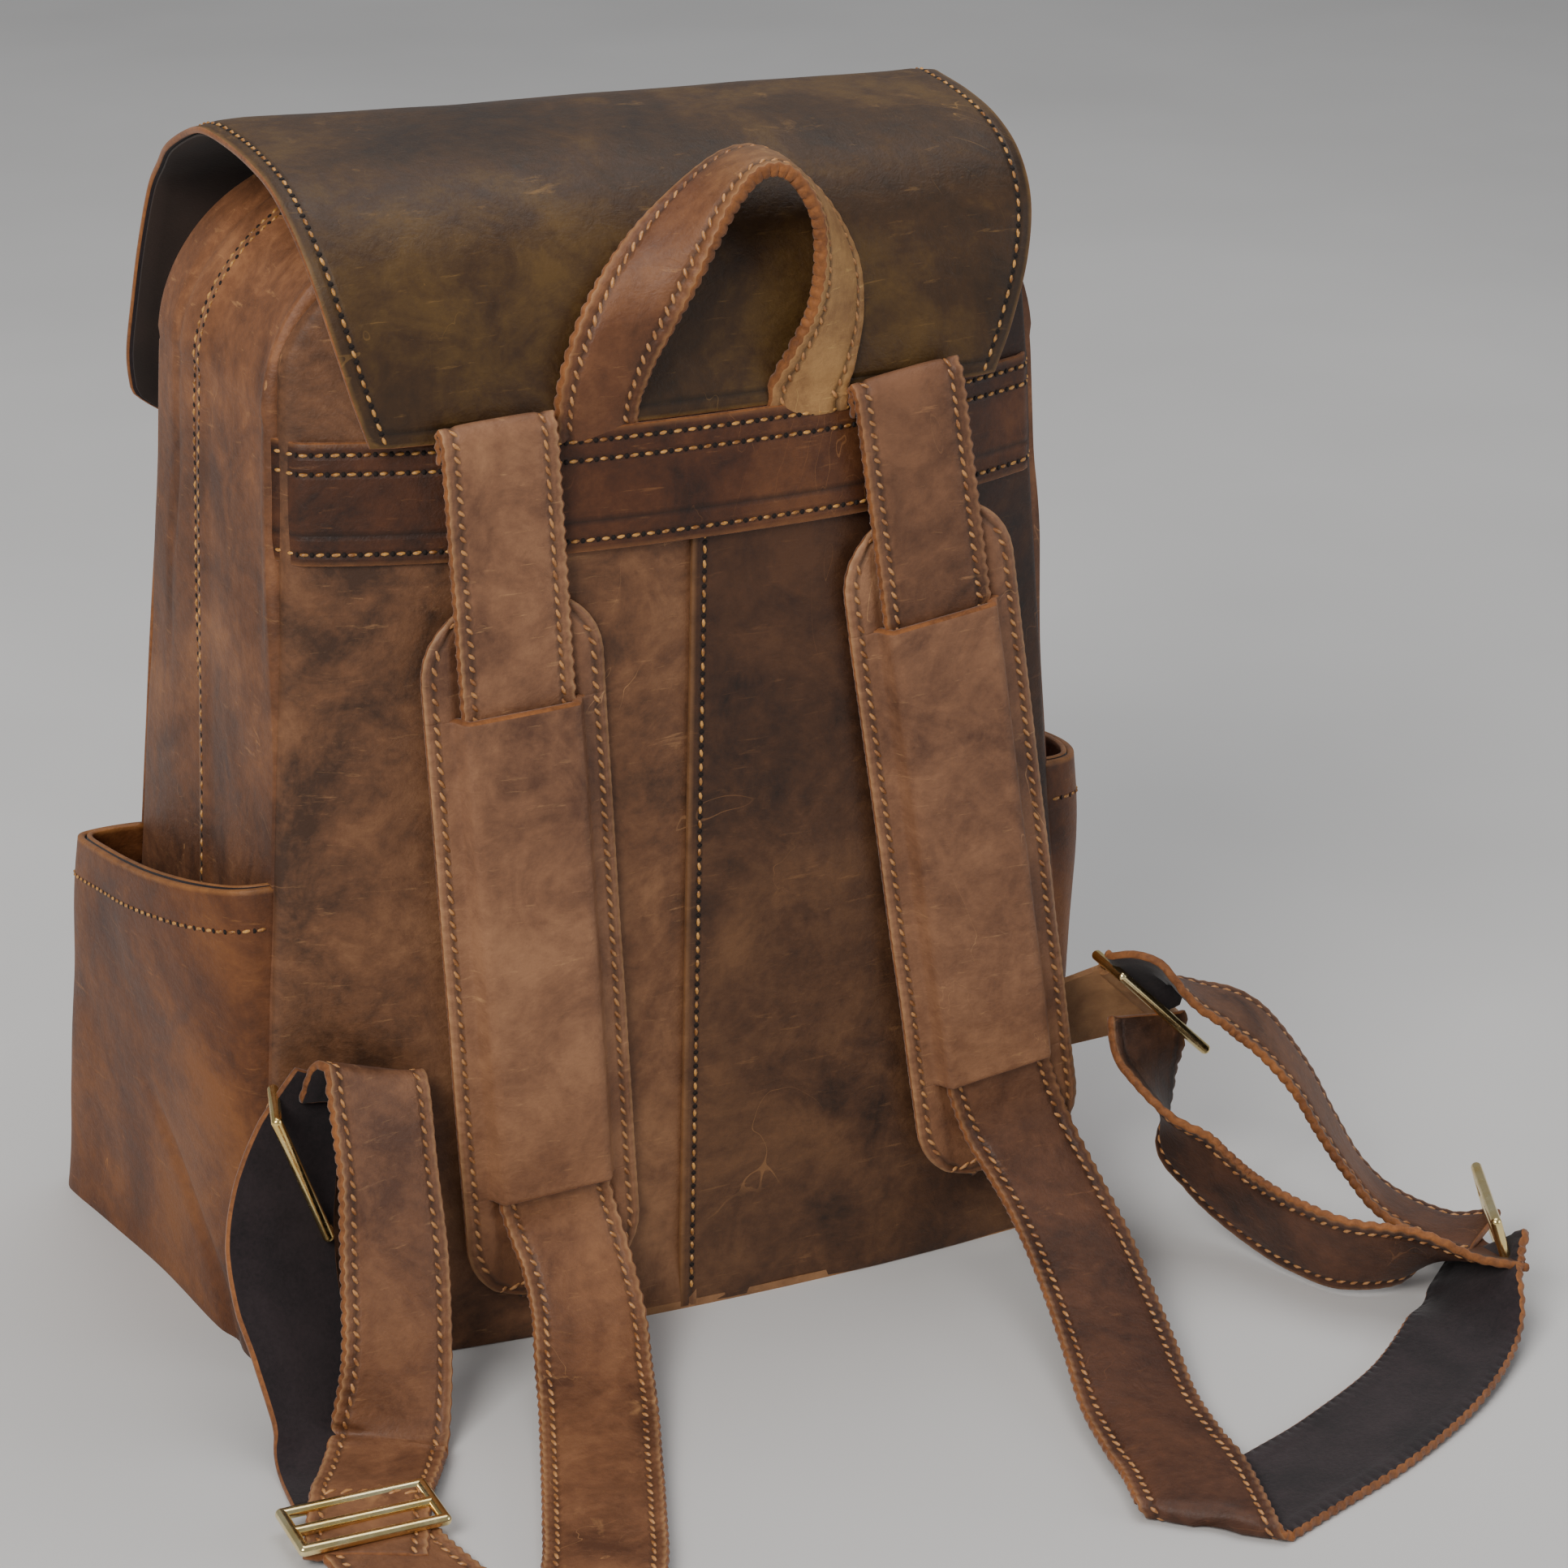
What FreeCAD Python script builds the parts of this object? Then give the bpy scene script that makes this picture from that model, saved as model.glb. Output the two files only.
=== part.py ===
import FreeCAD, Part
import math
import os

# Leather backpack with a turned-down flap, two sliding shoulder pads and open side pockets.
# Millimetres.  Origin: centre of the underside.  +Z up, +Y the wearer's side, -Y the flap's front.

V = FreeCAD.Vector

# ---- driving dimensions --------------------------------------------------------------------
LEATHER = 3.0                  # body hide, sewn and finished
FLAP_HIDE = 2.4
FLAP_LINING = 1.0
BOARD = 2.5                    # stiffener in the base
GAP = 0.4                      # play between pieces that move on each other
BIG = 400.0                    # larger than the whole bag, for trimming

# body levels: z, back half width, back corner y, back centre y, front half width, front corner y,
# front centre y
LEVELS = [
    (0.0, 157.0, 92.0, 104.0, 157.0, -90.0, -95.0),
    (292.0, 137.0, 80.5, 106.5, 141.0, -53.0, -60.0),
    (332.0, 136.0, 79.5, 105.5, 139.5, -49.5, -56.0),
    (336.0, 135.5, 76.0, 94.5, 139.0, -49.0, -55.0),
    (400.0, 131.0, 66.0, 80.0, 136.0, -44.0, -48.0),
]
ARCH_HALF = 139.0              # half width where the arch starts
ARCH_START = 336.0
ARCH_RADIUS = 60.0
ARCH_TOP = ARCH_START + ARCH_RADIUS

BAND_BOTTOM = 292.0
BAND_TOP = 332.0
BAND_HIDE = 2.6

ZIP_FRONT = -1.0               # y of the two edges of the zip slit
ZIP_REAR = 9.0
ZIP_TAPE = 8.0                 # tape hidden under each edge
ZIP_TEETH_WIDTH = 5.0
MOUTH_END = -84.0              # the half-open zip is open from here to x = 0

FLAP_HALF = 150.0
FLAP_REAR_Y = 101.0
FLAP_BASE_Z = 336.3            # just above the shoulder of the back panels
FLAP_SPLIT_Y = 20.0            # bend line along the crest
FLAP_CREST_Z = 419.0
FLAP_BOTTOM_Z = 255.0

STRAP_WIDTH = 39.0
STRAP_HIDE = 3.4
STRAP_BACK_Y = 108.8           # inner face of the shoulder straps
STRAP_TOP_Z = 338.5
PAD_WIDTH = 64.0
PAD_LENGTH = 258.0
PAD_SLOT_TOP = 38.0            # from the pad's top end
PAD_SLOT_LOW = 216.0
PAD_THICK = 5.0
# side: top x, sideways lean of the strap in degrees, strap length, start of the pad along it
STRAPS = {
    "left": (72.0, 3.0, 297.0, 60.0),
    "right": (-74.0, 8.5, 290.0, 49.0),
}

HANDLE_WIDTH = 28.0
HANDLE_THICK = 5.0

POCKET_HEM = 14.0
FRONT_POCKET_DEPTH = 6.0
CLOSURE_X = 75.0
CLOSURE_WIDTH = 25.0
SNAP_RADIUS = 8.0

WIRE = 4.0                     # ring and slider wire diameter
RING_LENGTH = 50.0
RING_DEPTH = 20.0


# ---- helpers -------------------------------------------------------------------------------
def box(x0, x1, y0, y1, z0, z1):
    """Box between two corners."""
    return Part.makeBox(x1 - x0, y1 - y0, z1 - z0, V(x0, y0, z0))


def prism_x(points, x0, x1):
    """Straight-sided outline of (y, z) points, extruded along X."""
    corners = [V(x0, y, z) for y, z in points]
    return Part.Face(Part.makePolygon(corners + corners[:1])).extrude(V(x1 - x0, 0, 0))


def prism_y(points, y0, y1):
    """Straight-sided outline of (x, z) points, extruded along Y."""
    corners = [V(x, y0, z) for x, z in points]
    return Part.Face(Part.makePolygon(corners + corners[:1])).extrude(V(0, y1 - y0, 0))


def rounded_y(x0, x1, z0, z1, radius, y0, y1):
    """Rectangle in XZ with round corners, extruded along Y."""
    slab = box(x0, x1, y0, y1, z0, z1)
    upright = [e for e in slab.Edges if e.BoundBox.YLength > 0.9 * (y1 - y0)]
    return slab.makeFillet(radius, upright)


def level_at(z):
    """Body level interpolated at height z."""
    for low, high in zip(LEVELS, LEVELS[1:]):
        if z <= high[0]:
            t = (z - low[0]) / (high[0] - low[0])
            return [a + (b - a) * t for a, b in zip(low, high)]
    return list(LEVELS[-1])


def body_wire(level, inset):
    """Plan outline of the body, pulled in by inset."""
    z, back_half, back_y, back_mid, front_half, front_y, front_mid = level
    back_left = V(back_half - inset, back_y - inset, z)
    back_right = V(inset - back_half, back_y - inset, z)
    front_left = V(front_half - inset, front_y + inset, z)
    front_right = V(inset - front_half, front_y + inset, z)
    back = Part.Arc(back_left, V(0, back_mid - inset, z), back_right).toShape()
    front = Part.Arc(front_right, V(0, front_mid + inset, z), front_left).toShape()
    return Part.Wire([back, Part.makeLine(back_right, front_right), front,
                      Part.makeLine(front_left, back_left)])


def arch_prism(inset):
    """Arched outline in XZ that rounds the top of the body off."""
    r = ARCH_RADIUS - inset
    x = ARCH_HALF - inset
    mid = ARCH_HALF - ARCH_RADIUS
    c = r * math.sqrt(0.5)
    side = ARCH_HALF + 2.6 - inset
    top = ARCH_START + r
    edges = [
        Part.makeLine(V(-side, 0, BAND_BOTTOM), V(-x, 0, ARCH_START)),
        Part.Arc(V(-x, 0, ARCH_START), V(-mid - c, 0, ARCH_START + c), V(-mid, 0, top)).toShape(),
        Part.makeLine(V(-mid, 0, top), V(mid, 0, top)),
        Part.Arc(V(mid, 0, top), V(mid + c, 0, ARCH_START + c), V(x, 0, ARCH_START)).toShape(),
        Part.makeLine(V(x, 0, ARCH_START), V(side, 0, BAND_BOTTOM)),
        Part.makeLine(V(side, 0, BAND_BOTTOM), V(BIG / 2, 0, BAND_BOTTOM)),
        Part.makeLine(V(BIG / 2, 0, BAND_BOTTOM), V(BIG / 2, 0, -1)),
        Part.makeLine(V(BIG / 2, 0, -1), V(-BIG / 2, 0, -1)),
        Part.makeLine(V(-BIG / 2, 0, -1), V(-BIG / 2, 0, BAND_BOTTOM)),
        Part.makeLine(V(-BIG / 2, 0, BAND_BOTTOM), V(-side, 0, BAND_BOTTOM)),
    ]
    face = Part.Face(Part.Wire(edges))
    face.translate(V(0, -BIG / 2, 0))
    return face.extrude(V(0, BIG, 0))


def body_solid(inset, z_low):
    """The filled body, pulled in by inset and cut off below z_low."""
    sections = [body_wire(level, inset) for level in LEVELS]
    blank = Part.makeLoft(sections, True, True).common(arch_prism(inset))
    return blank.common(box(-BIG, BIG, -BIG, BIG, z_low, BIG * 2))


def back_region():
    return prism_x([(85.0, -1), (140.0, -1), (140.0, 401), (67.0, 401), (74.0, BAND_BOTTOM)],
                   -BIG, BIG)


def front_region():
    return prism_x([(-84.0, -1), (-47.0, BAND_BOTTOM), (-38.0, 401), (-140.0, 401), (-140.0, -1)],
                   -BIG, BIG)


def ribbon(stations, width, thick):
    """Strip of leather through stations of (centre, direction across it)."""
    centres = [V(*centre) for centre, across in stations]
    wires = []
    for i, (centre, across) in enumerate(stations):
        ahead = centres[min(i + 1, len(centres) - 1)] - centres[max(i - 1, 0)]
        ahead.normalize()
        side = V(*across)
        side = side - ahead * side.dot(ahead)
        side.normalize()
        normal = side.cross(ahead)
        half = side * (width / 2)
        skin = normal * (thick / 2)
        c = centres[i]
        ring = [c + half + skin, c - half + skin, c - half - skin, c + half - skin]
        wires.append(Part.makePolygon(ring + ring[:1]))
    return Part.makeLoft(wires, True, True)


def wire_frame(corners, diameter):
    """Closed frame of round wire through corner points."""
    frame = None
    pole = (corners[1] - corners[0]).cross(corners[2] - corners[1])
    for start, end in zip(corners, corners[1:] + corners[:1]):
        run = end - start
        bar = Part.makeCylinder(diameter / 2, run.Length, start, run)
        knuckle = Part.makeSphere(diameter / 2, start, pole)
        piece = bar.fuse(knuckle)
        frame = piece if frame is None else frame.fuse(piece)
    return frame.removeSplitter()


def lean(shape, side):
    """Turn a piece drawn on an upright strap to that strap's sideways lean."""
    top_x, angle = STRAPS[side][:2]
    shape.translate(V(top_x, 0, 0))
    shape.rotate(V(top_x, 0, STRAP_TOP_Z), V(0, 1, 0), angle)
    return shape


def mirror_x(shape):
    return shape.mirror(V(0, 0, 0), V(1, 0, 0))


# ---- body ----------------------------------------------------------------------------------
def make_base():
    floor = body_solid(0, 0).common(box(-BIG, BIG, -BIG, BIG, 0, LEATHER))
    board = body_solid(LEATHER + GAP, LEATHER)
    board = board.common(box(-BIG, BIG, -BIG, BIG, LEATHER, LEATHER + BOARD))
    return {"bottom_panel": floor, "base_board": board}


def make_walls():
    """Back, front and gusset panels, cut from one hollow body."""
    walls = body_solid(0, LEATHER).cut(body_solid(LEATHER, LEATHER))
    back = walls.common(back_region())
    lap = prism_y([(7.0, -1), (2.0, BAND_BOTTOM), (2.0, 401), (BIG, 401), (BIG, -1)], -BIG, BIG)
    front = walls.common(front_region())
    middle = walls.cut(back_region()).cut(front_region())
    low = box(-BIG, BIG, -BIG, BIG, 0, ARCH_START)
    sides = middle.common(low)
    over = middle.cut(low)
    return {
        "back_panel_left": back.common(lap),
        "back_panel_right": back.cut(lap),
        "front_panel": front,
        "side_gusset_left": sides.common(box(0, BIG, -BIG, BIG, 0, BIG)),
        "side_gusset_right": sides.common(box(-BIG, 0, -BIG, BIG, 0, BIG)),
        "zip_gusset_rear": over.common(box(-BIG, BIG, ZIP_REAR, BIG, 0, BIG * 2)),
        "zip_gusset_front": over.common(box(-BIG, BIG, -BIG, ZIP_FRONT, 0, BIG * 2)),
    }


def make_zip():
    """Tapes under the slit, closed teeth on the left half, slider and pull."""
    tape_skin = 1.2
    above = box(-BIG, BIG, -BIG, BIG, ARCH_START, BIG * 2)
    ring = body_solid(LEATHER, ARCH_START).cut(body_solid(LEATHER + tape_skin, 0)).common(above)
    middle = (ZIP_FRONT + ZIP_REAR) / 2
    mouth = box(MOUTH_END, 0, ZIP_FRONT, ZIP_REAR, ARCH_START, BIG * 2)
    slit = box(-BIG, BIG, middle - 0.2, middle + 0.2, ARCH_START, BIG * 2)
    ring = ring.cut(mouth).cut(slit)
    rear = ring.common(box(-BIG, BIG, middle, ZIP_REAR + ZIP_TAPE, 0, BIG * 2))
    front = ring.common(box(-BIG, BIG, ZIP_FRONT - ZIP_TAPE, middle, 0, BIG * 2))
    chain = arch_prism(LEATHER - 2.0).cut(arch_prism(LEATHER)).common(above)
    half = ZIP_TEETH_WIDTH / 2
    teeth = chain.common(box(0, BIG, middle - half, middle + half, 0, BIG * 2))
    top = ARCH_TOP - LEATHER + 2.0
    roof = box(-8, 8, middle - 4.5, middle + 4.5, top + GAP, top + GAP + 2)
    cheeks = [box(-8, 8, y, y + 1.2, top - 1.4, top + GAP) for y in (middle - 4.5, middle + 3.3)]
    staple = box(-5, 5, middle - 1, middle + 1, top + GAP + 2, top + GAP + 6.6)
    staple = staple.cut(box(-3, 3, middle - 2, middle + 2, top + GAP + 2, top + GAP + 5.4))
    slider = roof.fuse(cheeks).fuse(staple).removeSplitter()
    pull_z = top + GAP + 2.9
    pull = box(-1.2, 26, middle - 4, middle + 4, pull_z, pull_z + 1.6)
    pull = pull.cut(box(1.2, 6.5, middle - 1.6, middle + 1.6, pull_z - 1, pull_z + 3))
    return {"zip_tape_rear": rear, "zip_tape_front": front, "zip_teeth": teeth,
            "zip_slider": slider, "zip_pull": pull}


def make_lining():
    """Thin inner bag with the same mouth as the zip, and a flat sleeve inside it."""
    inset = LEATHER + 1.4
    bottom = LEATHER + BOARD + 0.2
    bag = body_solid(inset, bottom).cut(body_solid(inset + 1, bottom + 1))
    bag = bag.cut(box(MOUTH_END, 0, ZIP_FRONT, ZIP_REAR, ARCH_START, BIG * 2))
    sleeve = rounded_y(-100, 100, 20, 230, 12, 82, 84)
    return {"lining_bag": bag, "inner_sleeve": sleeve}


def make_band():
    ring = body_solid(-BAND_HIDE, BAND_BOTTOM).cut(body_solid(0, 0))
    ring = ring.common(back_region())
    return {"back_band": ring.common(box(-134, 134, -BIG, BIG, BAND_BOTTOM, BAND_TOP))}


# ---- flap ----------------------------------------------------------------------------------
def flap_solid(skin_low, skin_high):
    """Layer of the flap between two depths below its outer face, at full width."""
    def face_at(depth):
        y_rear = FLAP_REAR_Y - depth
        top = FLAP_CREST_Z - depth
        rear_r = 54.0 - depth
        front_r = 55.0 - depth
        rear_mid = V(0, 47.0 + rear_r * 0.7071, 363.0 + rear_r * 0.7071)
        front_mid = V(0, -21.0 - front_r * 0.7071, 364.0 + front_r * 0.7071)
        return [
            Part.makeLine(V(0, y_rear, FLAP_BASE_Z), V(0, y_rear, 363.0)),
            Part.Arc(V(0, y_rear, 363.0), rear_mid, V(0, 47.0, top - 2.0)).toShape(),
            Part.makeLine(V(0, 47.0, top - 2.0), V(0, -21.0, top)),
            Part.Arc(V(0, -21.0, top), front_mid, V(0, -76.0 + depth, 364.0)).toShape(),
            Part.makeLine(V(0, -76.0 + depth, 364.0), V(0, -86.0 + depth, FLAP_BOTTOM_Z)),
        ]
    outer = face_at(skin_low)
    inner = face_at(skin_high)
    starts = [edges[0].Vertexes[0].Point for edges in (outer, inner)]
    ends = [edges[-1].Vertexes[-1].Point for edges in (outer, inner)]
    loop = outer + [Part.makeLine(ends[0], ends[1])] + inner + [Part.makeLine(starts[0], starts[1])]
    face = Part.Face(Part.Wire(Part.__sortEdges__(loop)))
    face.translate(V(-FLAP_HALF, 0, 0))
    return face.extrude(V(2 * FLAP_HALF, 0, 0))


def make_flap():
    """Rear half fixed to the band, front half that lifts; each is hide over lining."""
    rear_half = [(114, FLAP_BASE_Z), (120, 356), (128, 391), (130.5, 425)]
    front_half = [(131, 425), (132, 405), (134, 384), (137, 363), (140, 343), (142, 322),
                  (140, 305), (132, 292), (110, 276), (80, 263), (50, FLAP_BOTTOM_Z)]
    rear_outline = rear_half + [(-x, z) for x, z in reversed(rear_half)]
    front_outline = front_half + [(-x, z) for x, z in reversed(front_half)]
    rear_space = prism_y(rear_outline, FLAP_SPLIT_Y + GAP / 2, BIG)
    front_space = prism_y(front_outline, -BIG, FLAP_SPLIT_Y - GAP / 2)
    hide = flap_solid(0, FLAP_HIDE)
    lining = flap_solid(FLAP_HIDE, FLAP_HIDE + FLAP_LINING)
    return {
        "flap_rear": hide.common(rear_space),
        "flap_rear_lining": lining.common(rear_space),
        "flap_front": hide.common(front_space),
        "flap_front_lining": lining.common(front_space),
    }


def make_closures():
    """Two straps under the flap's lower edge with magnetic snaps on the front pocket."""
    strap_line = [(-86.6, 275.0), (-89.4, 275.0), (-98.4, 165.0), (-95.4, 165.0)]
    pieces = {}
    for side, x in (("left", CLOSURE_X), ("right", -CLOSURE_X)):
        half = CLOSURE_WIDTH / 2
        strap = prism_x(strap_line, x - half, x + half)
        male = Part.makeCylinder(SNAP_RADIUS, 2.0, V(x, -94.6, 180), V(0, 1, 0))
        female = Part.makeCylinder(SNAP_RADIUS, 20.0, V(x, -92.2, 180), V(0, 1, 0))
        female = female.cut(body_solid(0, 0))
        pieces["closure_strap_" + side] = strap
        pieces["snap_male_" + side] = male.cut(strap)
        pieces["snap_female_" + side] = female
    return pieces


def make_front_pocket(snaps):
    """Flat patch pocket sewn on the lower front, pressed shut."""
    low, high = 25.0, 235.0
    outer = Part.makeLoft([body_wire(level_at(z), -FRONT_POCKET_DEPTH) for z in (0, LEVELS[1][0])],
                          True, True)
    pocket = outer.common(rounded_y(-105, 105, low, high, 18, -BIG, -40)).cut(body_solid(0, 0))
    for snap in snaps:
        pocket = pocket.cut(snap)
    return {"front_pocket": pocket}


# ---- side pockets --------------------------------------------------------------------------
def pocket_plan(z, front_y, front_out, belly, rear_y, inset):
    """Plan of a side pocket at height z: short front return, then one long bulging face."""
    half = level_at(z)[1]
    root = half - 3.0
    front = V(root, front_y + inset, z)
    corner = V(half + front_out - inset, front_y + 3 + inset, z)
    middle = V(half + belly - inset, 0, z)
    rear = V(root, rear_y - inset, z)
    return Part.Wire([Part.makeLine(front, corner), Part.Arc(corner, middle, rear).toShape(),
                      Part.makeLine(rear, front)])


def make_side_pockets():
    wall = 2.6
    low_outer = pocket_plan(0, -92, 24, 17, 86, 0)
    high_outer = pocket_plan(195, -60, 18, 27, 78, 0)
    low_inner = pocket_plan(wall, -91.5, 24, 17, 85.5, wall)
    high_inner = pocket_plan(195.2, -60, 18, 27, 78, wall)
    bag = Part.makeLoft([low_outer, high_outer], True, True)
    bag = bag.cut(Part.makeLoft([low_inner, high_inner], True, True)).cut(body_solid(0, 0))
    rim = [(-BIG, 74.5), (BIG, 246.5)]
    below = prism_x([(-BIG, -1), (BIG, -1), rim[1], rim[0]], 0, BIG)
    cut_line = [(y, z - POCKET_HEM) for y, z in rim]
    panel = prism_x([(-BIG, -1), (BIG, -1), cut_line[1], cut_line[0]], 0, BIG)
    pocket = bag.common(panel)
    hem = bag.common(below).cut(panel)
    return {"side_pocket_left": pocket, "pocket_hem_left": hem,
            "side_pocket_right": mirror_x(pocket), "pocket_hem_right": mirror_x(hem)}


# ---- straps, pads and handle ---------------------------------------------------------------
def make_strap(side):
    """Root fold above the band, straight shoulder strap and its sliding pad."""
    length, pad_start = STRAPS[side][2:]
    half = STRAP_WIDTH / 2
    front_y = STRAP_BACK_Y + STRAP_HIDE
    root = box(-half + 0.8, half - 0.8, FLAP_REAR_Y + GAP, STRAP_BACK_Y - GAP, BAND_TOP + 0.3,
               STRAP_TOP_Z)
    root.translate(V(STRAPS[side][0], 0, 0))
    strap = box(-half, half, STRAP_BACK_Y, front_y, STRAP_TOP_Z - length, STRAP_TOP_Z)

    top = STRAP_TOP_Z - pad_start
    bottom = top - PAD_LENGTH
    wide = PAD_WIDTH / 2
    back = STRAP_BACK_Y - 3.2
    face = front_y + GAP + PAD_THICK
    slot_top = top - PAD_SLOT_TOP
    slot_low = top - PAD_SLOT_LOW
    outline = rounded_y(-wide, wide, bottom, top, 26, back, face)
    flat_end = [box(-wide, wide, STRAP_BACK_Y - GAP, face, slot_top + 4, top),
                box(-wide, wide, STRAP_BACK_Y - GAP, face, bottom, slot_low - 4)]
    hollow = box(-wide, wide, back, front_y + GAP, slot_low + 4, slot_top - 4)
    channel = half + GAP
    lane = box(-channel, channel, STRAP_BACK_Y - GAP, front_y + GAP, bottom, top)
    slots = [box(-channel, channel, back, front_y + GAP, slot_top - 5, slot_top),
             box(-channel, channel, back, front_y + GAP, slot_low, slot_low + 5)]
    pad = outline.cut(flat_end + [hollow, lane] + slots)
    backing_face = front_y + GAP + PAD_THICK / 2
    backing = box(-wide + 3, wide - 3, front_y, backing_face, slot_low + 8, slot_top - 8)
    backing = backing.common(pad)
    pad = pad.cut(backing)
    return {
        "strap_root_" + side: root,
        "shoulder_strap_" + side: lean(strap, side),
        "shoulder_pad_" + side: lean(pad, side),
        "pad_backing_" + side: lean(backing, side),
    }


def make_handle():
    """Carrying handle: its ends face the wearer and its crown faces up."""
    stations = [
        ((35.5, 106, 333.5), (-1, 0, 0)),
        ((35.5, 106, 346), (-1, 0, 0)),
        ((28, 107, 366), (-0.97, 0.2, 0)),
        ((16, 107.5, 389), (-0.75, 0.55, 0)),
        ((0, 105, 408), (-0.25, 1, 0)),
        ((-16, 103, 416), (0, 1, 0)),
        ((-31, 103.5, 414), (0.05, 1, 0)),
        ((-43, 106, 400), (0.45, 0.9, 0)),
        ((-48, 109, 380), (0.8, 0.5, 0)),
        ((-47, 108.5, 362), (0.95, 0.3, 0)),
        ((-42, 107, 350), (1, 0.1, 0)),
        ((-40.5, 106, 342), (1, 0, 0)),
        ((-40.5, 106, 333.5), (1, 0, 0)),
    ]
    return {"handle": ribbon(stations, HANDLE_WIDTH - 1, HANDLE_THICK)}


# ---- lower straps and hardware -------------------------------------------------------------
def strap_end(side, beyond):
    """Station on the shoulder strap's line, this far beyond its lower end."""
    top_x, angle, length = STRAPS[side][:3]
    turn = math.radians(angle)
    reach = length + beyond
    centre = (top_x - reach * math.sin(turn), STRAP_BACK_Y + STRAP_HIDE / 2,
              STRAP_TOP_Z - reach * math.cos(turn))
    return centre, (math.cos(turn), 0, -math.sin(turn))


def lower_strap(side, route, fold, back_route):
    """Strap from the pad to the ground, turned over in a diagonal fold and back to the slider."""
    start = [strap_end(side, GAP), strap_end(side, 4 * GAP)]
    down = ribbon(start + route, STRAP_WIDTH, STRAP_HIDE)
    back = ribbon(back_route, STRAP_WIDTH, STRAP_HIDE)
    corners = [V(x, y, 0.05) for x, y in fold]
    turn = Part.Face(Part.makePolygon(corners + corners[:1])).extrude(V(0, 0, 2 * STRAP_HIDE + 1))
    return down.fuse([turn, back]).removeSplitter()


def make_lower_straps():
    z1 = 1.8
    z2 = z1 + STRAP_HIDE + 0.6
    left = lower_strap(
        "left",
        [((56.4, 113, 32), (1, 0, 0)), ((58, 121, 21), (1, 0, 0)),
         ((61, 140, 12), (1, -0.1, 0)), ((68, 172, 6), (1, -0.25, 0)), ((84, 225, z1), (1, -0.4, 0)),
         ((104, 270, z1), (1, -0.45, 0))],
        [(86, 277), (121, 261), (140, 285), (118, 305)],
        [((122, 280, z2), (0.5, 1, 0)), ((142, 262, z2), (0.8, 0.75, 0)),
         ((154, 242, z2), (1, 0.2, 0)), ((156, 223, z2), (1, 0, 0))])
    right = lower_strap(
        "right",
        [((-118, 113, 40), (1, 0, -0.1)),
         ((-118, 122, 28), (1, 0, 0)), ((-117, 142, 16), (1, 0, 0)), ((-113, 180, 7), (1, 0.1, 0)),
         ((-107, 235, z1), (1, 0.1, 0)), ((-102, 288, z1), (1, 0.1, 0))],
        [(-82, 284), (-121, 289), (-128, 322), (-104, 318)],
        [((-110, 300, z2), (0.45, 0.9, 0)), ((-150, 280, z2), (0.45, 0.9, 0)),
         ((-205, 250, z2 + 2), (0.45, 0.9, 0)), ((-245, 228, z2 + 4), (0.45, 0.9, 0.1))])
    return {"lower_strap_left": left, "lower_strap_right": right}


# ring and slider places: ring top corner, ring low corner, direction out of the tab; slider
# centre, its long direction, its short direction
HARDWARE = {
    "left": ((153, 98, 112), (136, 96, 65), (0.38, 0.85, 0.37),
             (161, 206, 8.0), (1, 0, 0), (0, 1, 0)),
    "right": ((-163, 93, 104), (-199, 93, 68), (0.38, 0.85, 0.37),
              (-270, 202, 24), (0.4, 0.9, 0.05), (-0.3, 0.05, -0.95)),
}


def make_ring(side):
    """Brass rectangular ring in a sewn tab."""
    high, low, out = [V(*p) for p in HARDWARE[side][:3]]
    along = low - high
    along.normalize()
    out = out - along * out.dot(along)
    out.normalize()
    far = out * RING_DEPTH
    end = high + along * RING_LENGTH
    ring = wire_frame([high, end, end + far, high + far], WIRE)
    start = high + along * 6
    sleeve_length = RING_LENGTH - 12
    sleeve = Part.makeCylinder(WIRE / 2 + 2.6, sleeve_length, start, along)
    seam_x = 152 if side == "left" else -152
    top = start
    bottom = start + along * sleeve_length
    inward = V(seam_x, 88, top.z - 6)
    lowest = V(seam_x, 89, bottom.z - 10)
    normal = (bottom - top).cross(inward - top)
    normal.normalize()
    corners = [top, bottom, lowest, inward]
    flat = [c - normal * (c - top).dot(normal) - normal * 1.5 for c in corners]
    web = Part.Face(Part.makePolygon(flat + flat[:1])).extrude(normal * 3.0)
    bore = Part.makeCylinder(WIRE / 2 + GAP, RING_LENGTH + 2 * WIRE, high - along * WIRE, along)
    tab = sleeve.fuse(web).cut(bore).cut(body_solid(0, 0))
    return {"ring_" + side: ring, "ring_tab_" + side: tab}


def make_slider(side):
    """Three-bar brass slider lying near the end of the strap."""
    centre, long_way, short_way = [V(*p) for p in HARDWARE[side][3:]]
    long_way.normalize()
    short_way = short_way - long_way * short_way.dot(long_way)
    short_way.normalize()
    a = long_way * 24
    b = short_way * 12
    frame = wire_frame([centre + a + b, centre + a - b, centre - a - b, centre - a + b], WIRE)
    middle = Part.makeCylinder(WIRE / 2, 48, centre - a, long_way)
    return {"slider_" + side: frame.fuse(middle).removeSplitter()}


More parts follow.
